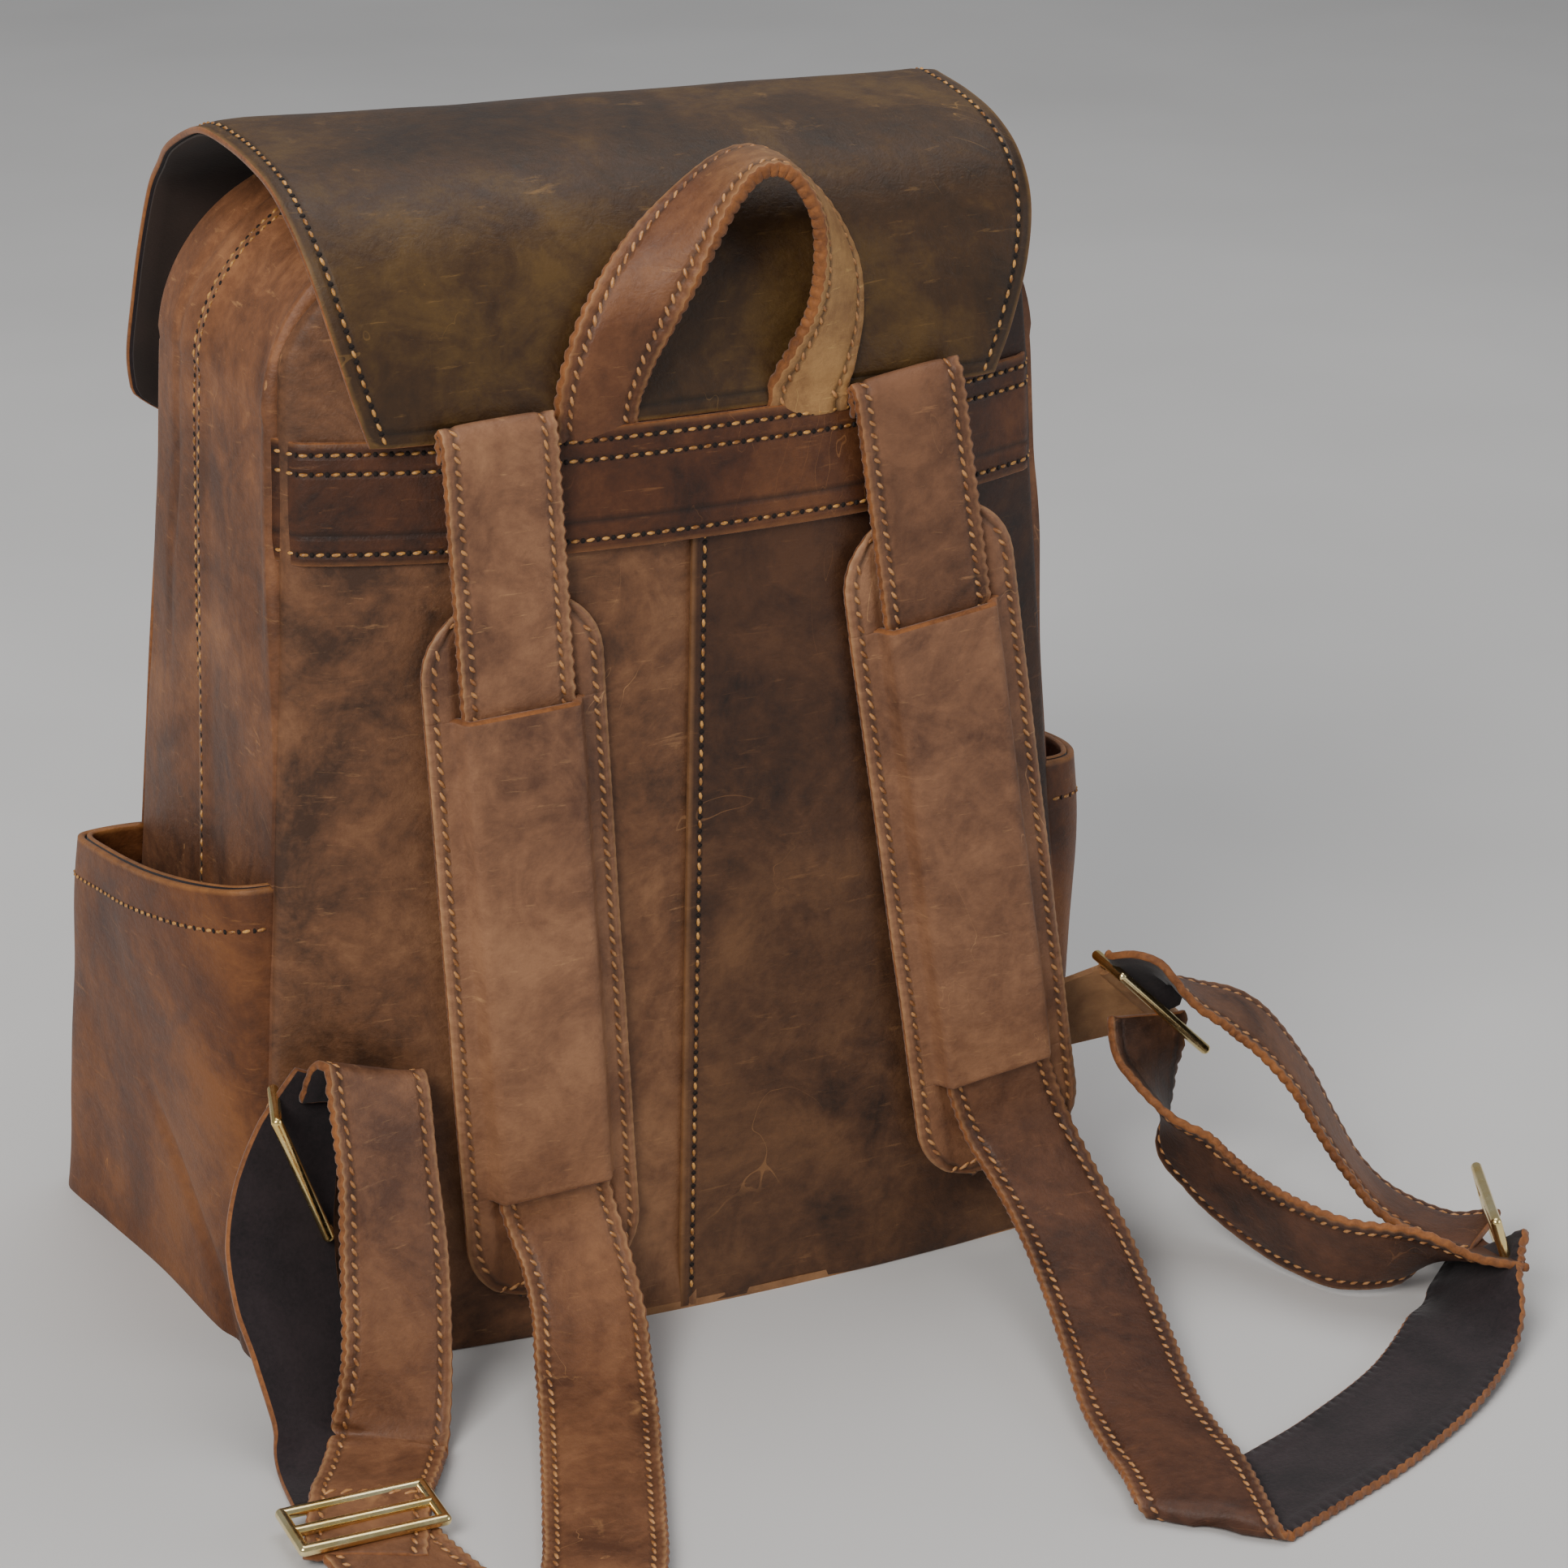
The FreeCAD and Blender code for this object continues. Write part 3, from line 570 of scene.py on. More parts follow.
def ribbon_grid(stations, width, crown=0.5, laced=True):
    """Grid along a strip through its route's stations; its face is across x along.

    A laced strip has a sunk line under its stitches and a puckered edge."""
    data = np.array([[*station[:3], *unit(vec(*station[3:]))] for station in stations])
    rows = int(run_of(data[:, :3])[-1] * 1.04 / 1.15) + 1
    path = catmull(data, rows)
    ahead = unit(np.gradient(path[:, :3], axis=0))
    side = unit(path[:, 3:] - ahead * np.sum(path[:, 3:] * ahead, axis=1, keepdims=True))
    normal = np.cross(ahead, side)
    given = np.atleast_1d(width)
    widths = np.interp(np.linspace(0, 1, rows), np.linspace(0, 1, len(given)), given)
    half = float(np.mean(widths)) / 2
    outer = [half - inset for inset in INSETS]
    offsets = np.array([-x for x in outer] + [-half * 0.35, half * 0.35] + outer[::-1])
    lift = crown * (1 - (offsets / half) ** 2)
    wave = np.zeros(rows)
    if laced:
        run = np.arange(rows) * run_of(path[:, :3])[-1] / (rows - 1)
        wave = np.cos(2 * math.pi * run / LACE["pitch"])
        sunk = -0.55 * np.exp(-((np.abs(offsets) - half + EDGE_IN) / 1.2) ** 2)
        lift = lift + math.copysign(1.0, crown) * sunk
    rim = np.clip((np.abs(offsets) - half + 3.2) / 1.5, 0, 1)
    lift = lift[None, :] + 0.24 * wave[:, None] * rim[None, :]
    aside = offsets[None, :] * (widths[:, None] / 2 / half)
    aside = aside + 0.3 * wave[:, None] * (np.abs(offsets) > half - 0.1) * np.sign(offsets)
    return path[:, None, :3] + side[:, None] * aside[..., None] + normal[:, None] * lift[..., None]


def attach(piece, body, blend):
    """The piece rides on its body; given a blend, it stays where it is, unparented, with its
    transform baked in. A blend's two bodies, start and end are not used.
    """
    if blend:
        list(blend[:2])
        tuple(blend[2])
        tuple(blend[3])
        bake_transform(piece)
    else:
        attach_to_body(piece, body)


def add_hide(name, grid, thick, mats, body, nodes=(), flip=False, blend=None,
             edges=("u0", "u1", "v0", "v1")):
    """Sheet of leather in place of these CAD nodes; returns it and the track of its face.

    mats are its face, cut edge and back, or its face alone."""
    if not isinstance(mats, tuple):
        mats = (mats, EDGE, FLESH)
    piece = hide_mesh(name, grid, thick, mats, flip, edges)
    if nodes:
        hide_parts(*nodes)
    attach(piece, body, blend)
    return piece, Track(grid, flip)


# ---- body ------------------------------------
def seam_x(z):
    """Where the right back panel's edge laps over the left one."""
    return 7.0 - 5.0 * min(z, BAND_LOW) / BAND_LOW


def arch_half(z, half):
    """Half width at height z, narrowed where the body's top corners are rounded."""
    if z <= ARCH_Z:
        return half
    return min(half, ARCH_HALF - corner_cut(ARCH_R + ARCH_Z - z, ARCH_R))


def back_grid(side):
    """Outer face of one back panel, from the centre seam to its turned corner."""
    turn = 5.0

    def surface(u, v):
        z = 0.8 + u * 391.2
        half = arch_half(z, level(z)[0])
        start = seam_x(z) - (6.0 if side > 0 else 0.0)
        edge = side * (half - turn + turn * math.sin(0.45))
        if v < 0.9:
            x = start + (edge - start) * v / 0.9
            y = back_y(x, z)
            if side > 0:
                y -= 2.4 * smooth((z - 5) / 20) * (1 - smooth((x - start) / 26))
        else:
            angle = 0.45 + (v - 0.9) / 0.1 * 1.35
            x = side * (half - turn + turn * math.sin(angle))
            y = back_y(edge, z) - turn * (math.cos(0.45) - math.cos(angle))
        shrink = 9.0 * smooth((z - BAND_HIGH) / 12) * (1 - smooth((abs(x) - 88) / 24))
        p = vec(x, y - shrink, z)
        soft = ripple(p, 62, 3.1) * 1.3 + ripple(p, 23, 8.7) * 0.35
        soft += 1.6 * math.exp(-((z - 14) / 12) ** 2) * ripple(p, 30, 5.5)
        p[1] += soft * smooth(v * 12) * smooth((1 - v) * 9)
        return p
    return evaluate(surface, 124, 50)


def build_back():
    # the right panel's hide carries painted shade
    for side, label, hide in ((1, "left", SEAM), (-1, "right", BACK)):
        track = add_hide("back_hide_" + label, back_grid(side), HIDE, (hide, hide, FLESH), "root",
                         ("back_panel_" + label,), side < 0, edges=("v0",))[1]
    add_stitches("centre_stitches", [track.beside("v0", EDGE_IN, 0.015, 0.75)], "root")


def build_band():
    def surface(u, v):
        z = BAND_LOW + (BAND_HIGH + 0.6 - BAND_LOW) * u
        half = level(z)[0] + 1.8
        x = half * (1 - 2 * v)
        tuck = 8.0 * smooth((abs(x) - half + 8) / 8) ** 2
        belly = 0.5 * math.sin(math.pi * u)
        p = vec(x, back_y(x, z) + 2.5 + belly - tuck, z)
        p[1] += ripple(p, 40, 1.2) * 0.5
        return p
    track = add_hide("band_hide", evaluate(surface, 16, 120), THIN_HIDE, BAND,
                     "root", ("back_band",), True, edges=("u0", "u1"))[1]
    rows = [track.beside("u1", inset) for inset in BAND_ROWS] + [track.beside("u0", BAND_ROWS[0])]
    add_stitches("band_stitches", rows, "root")


def outline(run, y):
    """Point, way out and height on the gusset's path; run goes from -1, the right foot, to 1."""
    side = 1 if run >= 0 else -1
    bend = ARCH_R * math.pi / 2
    flat = ARCH_HALF - ARCH_R
    s = (1 - abs(run)) * (ARCH_Z + bend + flat)
    back_half, back, _, front_half, front = level(min(s, ARCH_Z))
    t = (back - y) / (back - front)
    if s < ARCH_Z:
        return vec(side * (back_half + (front_half - back_half) * t), y, s), vec(side, 0, 0), s
    grow = ARCH_SPREAD * (t - 0.5)
    if s < ARCH_Z + bend:
        a = (s - ARCH_Z) / ARCH_R
        radius = ARCH_R + grow * 0.5
        x = flat + radius * math.cos(a) + grow * 0.5 * math.cos(a)
        place = vec(side * x, y, ARCH_Z + radius * math.sin(a))
        return place, vec(side * math.cos(a), 0, math.sin(a)), ARCH_Z + ARCH_R * math.sin(a)
    place = vec(side * (flat - (s - ARCH_Z - bend)), y, ARCH_Z + ARCH_R + grow * 0.5)
    return place, vec(0, 0, 1), ARCH_Z + ARCH_R


def middle_y(z):
    """y of the gusset's lapped stitch line at height z."""
    return float(np.interp(z, [0, 156, 295, 340, 396], [14, 9.5, 0, 2, 6]))


REAR_COLUMNS = (0, .012, .025, .04, .06, .085, .12, .17, .24, .32, .4, .48, .56, .64, .72, .79,
                .85, .9, .94, .97, 1)


def gusset_rear_grid():
    """Rear half of the gusset, all the way round, with its proud turned edge."""
    def surface(u, v):
        run = 1 - 2 * u
        _, _, z = outline(run, 80.0)
        rear = level(z)[1] - 1.0 - 3.0 * smooth((z - 262) / 40)
        y = rear + (middle_y(z) - rear) * v
        p, out, _ = outline(run, y)
        roll = rear - y
        proud = 0.4 + 3.0 * smooth((z - 215) / 70)
        lift = proud * math.sqrt(smooth((roll + 0.6) / 2.4)) * (1 - 0.9 * smooth((roll - 3.5) / 9))
        lift -= 4.0 * (1 - smooth(roll / 2.0))
        lift += 2.4 * math.sin(math.pi * v) * smooth((360 - z) / 60)
        lift += 2.0 * smooth((v - 0.84) / 0.12)
        lift += ripple(p, 55, 2.2) * 1.6 * smooth(v * 6) * smooth((1 - v) * 6)
        lift += 1.2 * math.sin(z / 9.0 + 2 * y / 9) * math.exp(-((z - 205) / 20) ** 2) * v * (1 - v)
        return p + out * lift
    return evaluate(surface, 240, REAR_COLUMNS)


def gusset_front_grid():
    """Front half of the gusset, tucked under the rear half's edge."""
    def surface(u, v):
        run = 1 - 2 * u
        _, _, z = outline(run, 0.0)
        opening = smooth((z - 388) / 7)
        rear = middle_y(z) + 7.0 * (1 - opening) - 10.0 * opening
        front = level(z)[4] + 1.0
        y = rear + (front - rear) * v
        p, out, _ = outline(run, y)
        lift = -1.6 * (1 - smooth(v / 0.16)) * (1 - opening)
        lift += 2.0 * math.sin(math.pi * v) - 3.5 * smooth((v - 0.93) / 0.07)
        lift += ripple(p, 50, 6.1) * 1.4 * smooth(v * 6) * smooth((1 - v) * 6)
        fold = math.exp(-((y - (-14 - 0.09 * (396 - z))) / 2.6) ** 2)
        lift -= 1.3 * fold * smooth((z - 190) / 90)
        return p + out * lift
    return evaluate(surface, 240, 24)


def build_gussets():
    """The two halves overlap along the lapped stitch line."""
    rear = add_hide("gusset_rear_hide", gusset_rear_grid(), HIDE, (BODY, BODY, FLESH), "root",
                    ("side_gusset_left", "zip_gusset_rear"), edges=("v1",))[1]
    front = add_hide("gusset_front_hide", gusset_front_grid(), HIDE, (BODY, BODY, FLESH), "root",
                     ("side_gusset_right", "zip_gusset_front"), edges=("v0",))[1]
    add_stitches("gusset_stitches", [rear.beside("v1", 3.2, 0.005, 0.995, 300),
                                     front.beside("v0", 12.0, 0.22, 0.78, 160)], "root")


def front_face(x, z):
    """Outer face of the front panel."""
    half, y = level(z)[3:]
    t = min(1.0, abs(x) / arch_half(z, half))
    return y - FRONT_BULGE * (1 - t ** 4) + 2.0


def build_front():
    def surface(u, v):
        z = 4 + u * 386.0
        x = (arch_half(z, level(z)[3]) - 1.0) * (2 * v - 1)
        p = vec(x, front_face(x, z), z)
        p[1] += ripple(p, 60, 4.4) * 1.4
        return p
    add_hide("front_hide", evaluate(surface, 90, 60), HIDE, SEAM, "root",
             ("front_panel",), True)


def build_front_pocket():
    """Flat patch pocket on the front."""
    height = 208.0
    half_width = 104.0

    def surface(u, v):
        z = 25 + u * height
        end = min(u, 1 - u) * height
        x = (half_width - corner_cut(end, 14.0)) * (2 * v - 1)
        puff = 3.2 + 2.4 * smooth(min(end, half_width - abs(x)) / 16.0)
        p = vec(x, front_face(x, z) - puff, z)
        p[1] += ripple(p, 55, 9.4) * 0.7
        return p
    track = add_hide("front_pocket_hide", evaluate(surface, 60, 60), POCKET_HIDE,
                     FRONT, "root", ("front_pocket",), True)[1]
    rows = [track.beside(edge, EDGE_IN, 0.03, 0.97) for edge in ("u0", "u1", "v0", "v1")]
    add_stitches("front_pocket_stitches", rows, "root")


# ---- side pockets ----------------------------
# bulge of the pocket along its run from front root to rear root: run 0-1, mm out
POCKET_LOW = ((0, 0), (-.01, 10), (.005, 20), (.06, 26), (.12, 25.5), (.25, 20), (.42, 15),
              (.62, 9.8), (.80, 6), (.93, 3), (1, 0))
POCKET_HIGH = ((0, 0), (-.005, 9), (.005, 18), (.035, 24.5), (.13, 28), (.35, 29), (.6, 28),
               (.8, 24.5), (.93, 18), (.985, 10), (1, 0))
POCKET_RUN = 180.0


def pocket_surface(side, t_low=0.0, t_high=1.0, inset=0.0):
    """Bulging face of a side pocket; u runs up, v from the front root to the rear root."""
    low, high = (catmull([(t * POCKET_RUN, out, 0.0) for t, out in profile], 200)
                 for profile in (POCKET_LOW, POCKET_HIGH))

    def surface(u, v):
        rise = t_low + (t_high - t_low) * u
        mixed = low + (high - low) * smooth(rise)
        run, out, _ = read_at(v * (len(low) - 1), np.arange(len(low)), mixed)
        z = rise * 160.0
        for _ in range(3):
            back_half, back, _, front_half, front = level(z)
            y0, y1 = front + 1.0, back - 2.5
            y = y0 + (y1 - y0) * run / POCKET_RUN
            z = rise * (160.5 + 0.215 * y)
        t = (back - y) / (back - front)
        y += ((y0 + y1) / 2 - y) * inset / 90
        out *= 1 - inset / 24
        away = abs((y - 20) * 0.81 + (z - 60) * 0.59)
        crease = 2.2 * math.exp(-(away / 5) ** 2) * smooth((90 - z) / 40) * smooth((1 - v) * 6)
        p = vec(back_half + (front_half - back_half) * t - 1.0 + out - crease, y, z)
        p[0] += 1.8 * ripple(p, 45, 7.7 + side) * smooth(v * 8) * smooth((1 - v) * 8)
        p[0] *= side
        return p
    return surface


def build_side_pockets():
    for side, label in ((1, "left"), (-1, "right")):
        wall = evaluate(pocket_surface(side), 60, 80)
        track = add_hide("pocket_hide_" + label, wall, POCKET_HIDE, (POCKET, POCKET, FLESH),
                         "root", ("side_pocket_" + label,), side > 0,
                         edges=("u1",))[1]
        hem = evaluate(pocket_surface(side, 0.90, 1.004, POCKET_HIDE), 10, 80)
        add_hide("pocket_hem_hide_" + label, hem, HEM_HIDE, (FLESH, POCKET, POCKET), "root",
                 ("pocket_hem_" + label,), side > 0, edges=("u1",))
        add_stitches("pocket_stitches_" + label, [track.beside("u1", 14.0, 0.03, 0.99)], "root")


# ---- flap ------------------------------------
# along the middle line: y, z, half width
FLAP_LINE = [
    (101.0, 333.5, 112), (101.8, 350, 117.5), (100.5, 372, 123.5), (94, 391, 127.5),
    (80, 405, 129.5), (61, 413.5, 130), (38, 417.3, 130.4), (12, 418.6, 131), (-6, 418.8, 133),
    (-25, 413.5, 133), (-45, 404.5, 134), (-60, 395, 133), (-70, 384, 134), (-75.5, 363, 137),
    (-78, 343, 139.7), (-80.5, 322, 142), (-82, 309, 141), (-82.6, 305, 139.3), (-83.4, 299, 132),
    (-84, 293, 122), (-84.6, 287, 110), (-85, 280, 98), (-85.5, 270, 80), (-86, 262, 60),
    (-86.4, 256, 35),
]
FLAP_BEND = ("root", "flap", (0, 0.050, 0.4181), (0, -0.010, 0.4181))


def flap_grid(depth, narrower, rows, columns, end=1.0):
    """The flap's face, or one this deep below it."""
    # the width is scaled down, so that the steps go by the length of the line alone
    path = catmull([(y, z, w * 0.001) for y, z, w in FLAP_LINE], 400)
    ahead = unit(np.gradient(path[:, :2], axis=0))
    index = np.arange(len(path))

    def surface(u, v):
        k = u * end * (len(path) - 1)
        y, z, w = read_at(k, index, path)
        dy, dz = read_at(k, index, ahead)
        t = 1 - 2 * v
        x = (w * 1000 - narrower) * t
        base = 3.5 * smooth((356 - z) / 22) * (1 - t * t) * (1 if y > 0 else 0)
        twist = -5.0 * (1 - t) / 2 * smooth((12 - y) / 20)
        curl = -1.2 * smooth((abs(t) - 0.93) / 0.07)
        soft = ripple((x, y, z), 75, 2.8) * 1.1 + ripple((x, y, z), 28, 1.4) * 0.4
        lift = 0.3 * (1 - t * t) + curl + soft * smooth((1 - abs(t)) * 7) - depth
        return vec(x, y + dz * lift + base, z - dy * lift + twist)
    return evaluate(surface, rows, columns)


def build_flap():
    track = add_hide("flap_hide", flap_grid(0.0, 0.0, 150, 64), THIN_HIDE, FLAP,
                     "flap", ("flap_rear", "flap_front"), True, FLAP_BEND)[1]
    add_hide("flap_lining_cloth", flap_grid(2.45, 1.6, 110, 44, 0.995), LINING,
             (CLOTH, CLOTH, CLOTH), "flap",
             ("flap_rear_lining", "flap_front_lining"), True, FLAP_BEND)
    rows = [track.beside(edge, FLAP_ROW, 0.0, 0.985, 400) for edge in ("v0", "v1")]
    rows.append(track.beside("u1", FLAP_ROW, 0.1, 0.9))
    add_stitches("flap_stitches", rows, "flap", FLAP_BEND)


# ---- straps ----------------------------------
def on_strap(side, run, y):
    """Station on a shoulder strap's line, run mm below its top."""
    top_x, angle = SIDES[side][:2]
    a = math.radians(angle)
    x, z = top_x - run * math.sin(a), STRAP_TOP_Z - run * math.cos(a)
    return x, y, z, -math.cos(a), 0, math.sin(a)


def laced_strip(name, grid, thick, mats, body, nodes=(), flip=False, blend=None, start=0.0,
                end=1.0):
    """A strap with its two laced edges; returns the track of its outer face."""
    track = add_hide(name, grid, thick, mats, body, nodes, flip, blend,
                     ("v0", "v1"))[1]
    rows = [track.beside(edge, EDGE_IN, start, end, len(grid)) for edge in ("v0", "v1")]
    add_stitches(name.replace("hide", "stitches"), rows, body, blend, LACE)
    return track


def build_shoulder_strap(side):
    fold = ("root", "strap_" + side, (0, 0.1030, 0), (0, 0.1086, 0))
    end = SIDES[side][2] + PAD_SLOTS[1] - 8
    places = [(9, 104.4), (2, 104.6), (-2.4, 107.6), (0.6, 111.4), (8, 112.4), (40, 112.4)]
    places += [(run, 112.3) for run in np.linspace(90, end, 4)]
    grid = ribbon_grid([on_strap(side, run, y) for run, y in places], STRAP_WIDTH)
    hide = STRAP if side == "left" else SHADED_STRAP
    laced_strip("strap_hide_" + side, grid, STRAP_HIDE, hide, "strap_" + side,
                ("shoulder_strap_" + side, "strap_root_" + side), False, fold, 0.045)


PAD_INSETS = (0, 1, 2.4, 4, 5.6, 8, 9.5, 11, 12.5, 15, 20, 26, 32)
PAD_COLUMNS = [x / PAD_WIDTH for x in PAD_INSETS] + [1 - x / PAD_WIDTH for x in PAD_INSETS[-2::-1]]


def pad_grid(side, start, stop, rows):
    """One stretch of a shoulder pad, start and stop in mm from its top end."""
    top_x, angle, pad_start = SIDES[side]
    a = math.radians(angle)
    down = vec(-math.sin(a), 0, -math.cos(a))
    right = vec(-math.cos(a), 0, math.sin(a))
    origin = vec(top_x, 0, STRAP_TOP_Z) + down * pad_start
    slot_a, slot_b = PAD_SLOTS
    middle = start >= slot_a and stop <= slot_b

    def surface(u, v):
        s = start + (stop - start) * u
        half = PAD_WIDTH / 2 - corner_cut(min(s, PAD_LENGTH - s), 24.0) * 0.92
        x = half * (2 * v - 1)
        centre = 1 - smooth((abs(x) - STRAP_WIDTH / 2) / 4)
        fade = smooth(min(abs(s - slot_a), abs(s - slot_b)) / 30)
        y = 109.6 - 0.5 * math.exp(-((half - abs(x) - EDGE_IN) / 1.2) ** 2)
        y += 0.8 * fade * (1 - (x / half) ** 2)
        y += (6.9 if middle else -1.4) * centre
        y -= 1.2 * smooth((abs(x) - half + 2.2) / 2.2)
        y += 0.22 * math.cos(2 * math.pi * s / LACE["pitch"]) * (abs(x) > half - 2.6)
        p = origin + down * s + right * x
        p[1] = y + ripple((p[0], 0, p[2]), 40, 5.0) * 0.7
        return p
    return evaluate(surface, rows, PAD_COLUMNS)


def build_pad(side):
    """Padded shoulder pad in three stretches: it lies behind the strap at its two ends."""
    slot_a, slot_b = PAD_SLOTS
    body = "pad_" + side
    long_edges = ("v0", "v1")
    middle = pad_grid(side, slot_a, slot_b, 156)
    piece, track = add_hide("pad_hide_" + side, middle, PAD_HIDE, STRAP, body,
                            ("shoulder_pad_" + side, "pad_backing_" + side), edges=long_edges)
    rows = [track.beside(edge) for edge in long_edges]
    ends = (("upper", pad_grid(side, 0.6, slot_a, 34), "u0", 0.30, 1.0),
            ("lower", pad_grid(side, slot_b, PAD_LENGTH - 0.6, 38), "u1", 0.0, 0.72))
    for label, grid, end_edge, first, last in ends:
        track = add_hide("pad_%s_%s" % (label, side), grid, LEG_HIDE, STRAP, body,
                         edges=(end_edge,) + long_edges)[1]
        rows += [track.beside(edge, EDGE_IN, first, last) for edge in long_edges]
        rows.append(track.beside(end_edge, EDGE_IN, 0.1, 0.9))
    add_stitches("pad_stitches_" + side, rows, body, style=LACE)


# ---- handle, free straps and legs ------------
# a station of a strip's route is its centre and the way across it: x, y, z, dx, dy, dz
HANDLE_ROUTE = [
    (35.5, 104.6, 328, -1, 0, 0), (35.5, 106.0, 338, -1, 0, 0), (34.0, 108.6, 350, -1, 0.1, 0),
    (28.0, 109.5, 366, -0.95, 0.22, 0), (14, 108.5, 389, -0.72, 0.6, 0),
    (-2, 105.5, 408, -0.3, 0.95, 0), (-17, 103.5, 418, 0, 1, 0), (-31, 104, 416, 0.12, 1, 0),
    (-44.5, 106.5, 400, 0.42, 0.9, 0), (-50, 109, 380, 0.7, 0.65, 0),
    (-49, 109.5, 362, 0.85, 0.45, 0), (-44, 108.6, 347, 0.97, 0.2, 0),
    (-40.5, 106.2, 337, 1, 0, 0), (-40.5, 104.6, 328, 1, 0, 0),
]
LEFT_OUT = [
    (54.5, 112.7, 50, -1, 0, 0.04), (52.5, 119.5, 38, -1, 0, 0), (54, 135, 25, -1, 0.03, 0),
    (60, 154, 16.5, -1, 0.1, 0), (67, 176, 11.5, -1, 0.25, 0), (77, 204, 8.5, -1, 0.36, 0),
    (88, 234, 7.5, -1, 0.4, 0), (101, 266, 7.5, -1, 0.4, 0),
]
LEFT_BACK = [
    (127, 293, 0.4, 0.6, 0.8, 0), (141, 272, 0.6, 0.9, 0.4, 0), (150, 250, 1.6, 1, 0.2, 0),
    (157, 228, 4.0, 1, 0.1, 0), (160, 212, 6.0, 1, 0.05, 0),
]
RIGHT_OUT = [
    (-119, 112.7, 60, -1, 0, 0.12), (-123, 118.5, 48, -1, 0, 0.08), (-125, 137, 36.5, -1, 0, 0),
    (-124, 159, 27, -1, 0, 0), (-119, 187, 19, -1, -0.1, 0), (-113, 213, 13.5, -1, -0.14, 0),
    (-106, 240, 9, -1, -0.16, 0), (-102, 266, 7.5, -1, -0.16, 0), (-99, 288, 7.5, -1, -0.16, 0),
]
RIGHT_BACK = [
    (-130, 299, 0.4, -0.3, 0.95, 0), (-166, 284, 0.5, -0.4, 0.9, 0),
    (-206, 262, 1.6, -0.2, 0.95, 0), (-236, 238, 5.5, 0.2, 0.95, -0.08),
    (-254, 218, 12, 0.36, 0.92, 0), (-265, 208, 17, 0.4, 0.9, 0.05),
]
LEFT_FRONT = [
    (166, 223, 5.2, -1, 0.2, 0), (154, 193, 8.5, -1, 0.33, 0), (147, 180, 7.2, -1, 0.28, 0),
    (142, 171, 6.8, -1, 0.24, 0), (138, 163.5, 7.2, -1, 0.2, 0), (135, 159, 10, -1, 0.15, 0),
    (129, 151, 30, -1, -0.03, -0.25), (124.5, 138.5, 60, -1, -0.06, -0.3),
    (121.5, 126, 88, -1, -0.2, -0.4), (120.5, 114.5, 115, -1, -0.15, -0.38),
    (121.5, 109, 119, -1, -0.15, -0.38), (124, 104, 116, -1, -0.15, -0.38),
    (127, 102, 106, -1, -0.15, -0.38),
]
LEFT_REAR = [
    (137, 103, 116, -18, -2, -9), (144, 104.5, 101.5, -28, -3, -13),
    (151, 108, 85.5, -34, -3, -15), (156.5, 114, 67.5, -37, -3, -15),
    (158, 122, 50, -36, -3, -16), (157, 134, 31, -32, -1, -18), (157, 150, 11, -30, -4, -9),
    (159, 162, 4.0, -31, 0, 0), (161, 184, 3.2, -31, 0, 0),
]
RIGHT_LOWER = [
    (-266, 214, 17, 0.3, 0.9, 0.2), (-248, 212, 19, 0.25, 0.85, 0.4),
    (-230, 207, 20, 0.2, 0.5, 0.8), (-211, 197, 20.5, 0.2, 0.38, 0.9),
    (-200, 178, 21.5, 0.2, 0.36, 0.92), (-191.5, 156, 25.5, 0.2, 0.36, 0.92),
    (-182, 141.5, 36, 0.25, 0.3, 0.92), (-173, 131, 50, 0.4, 0.25, 0.88),
    (-171, 119, 68, 0.62, 0.1, 0.78), (-173, 112, 86, 0.7, 0, 0.71),
]
RIGHT_UPPER = [
    (-173, 104, 97, 0.7, 0, 0.71), (-180, 111, 101, 0.66, 0.3, 0.6),
    (-193, 119, 94, 0.5, 0.72, 0.2), (-205, 125, 88, 0.62, 0.76, 0.1),
    (-214, 132, 80, 0.6, 0.78, 0.1), (-224, 141, 65, 0.6, 0.76, 0.2),
    (-231, 149, 49, 0.6, 0.76, 0.25), (-238, 159, 34, 0.58, 0.76, 0.28),
    (-246, 171, 24, 0.57, 0.78, 0.2), (-258, 186, 19, 0.5, 0.85, 0.15),
    (-268, 198, 20, 0.4, 0.9, 0.05),
]


def build_handle():
    laced_strip("handle_hide", ribbon_grid(HANDLE_ROUTE, 28.0, -0.9), HANDLE_HIDE,
                (HANDLE, EDGE, HANDLE), "handle", ("handle",), True, None, 0.02, 0.98)


class Fold:
    """Turns a strip under itself across a line: the strip keeps its length and width."""

    def __init__(self, place, line):
        self.radius = 3.6
        self.place = vec(*place) - vec(0, 0, self.radius)
        self.line = unit(vec(*line))
        self.past = np.cross(self.line, vec(0, 0, 1))

    def turned(self, v):
        """v after half a turn about the fold line."""
        return 2 * np.dot(v, self.line) * self.line - v

    def unfold(self, station):
        """Where a station beyond the fold would lie on the flat strip."""
        flat = self.place + self.turned(vec(*station[:3]) - self.place)
        return *(flat + self.past * math.pi * self.radius), *self.turned(vec(*station[3:]))

    def fold(self, p):
        local = p - self.place
        q = float(np.dot(local, self.past))
        if q <= 0:
            return p
        if q > math.pi * self.radius:
            return self.place + self.turned(local - self.past * math.pi * self.radius)
        angle = q / self.radius
        along = np.dot(local, self.line) * self.line
        return self.place + along + local[2] * (math.sin(angle) * self.past
                                                + math.cos(angle) * vec(0, 0, 1))


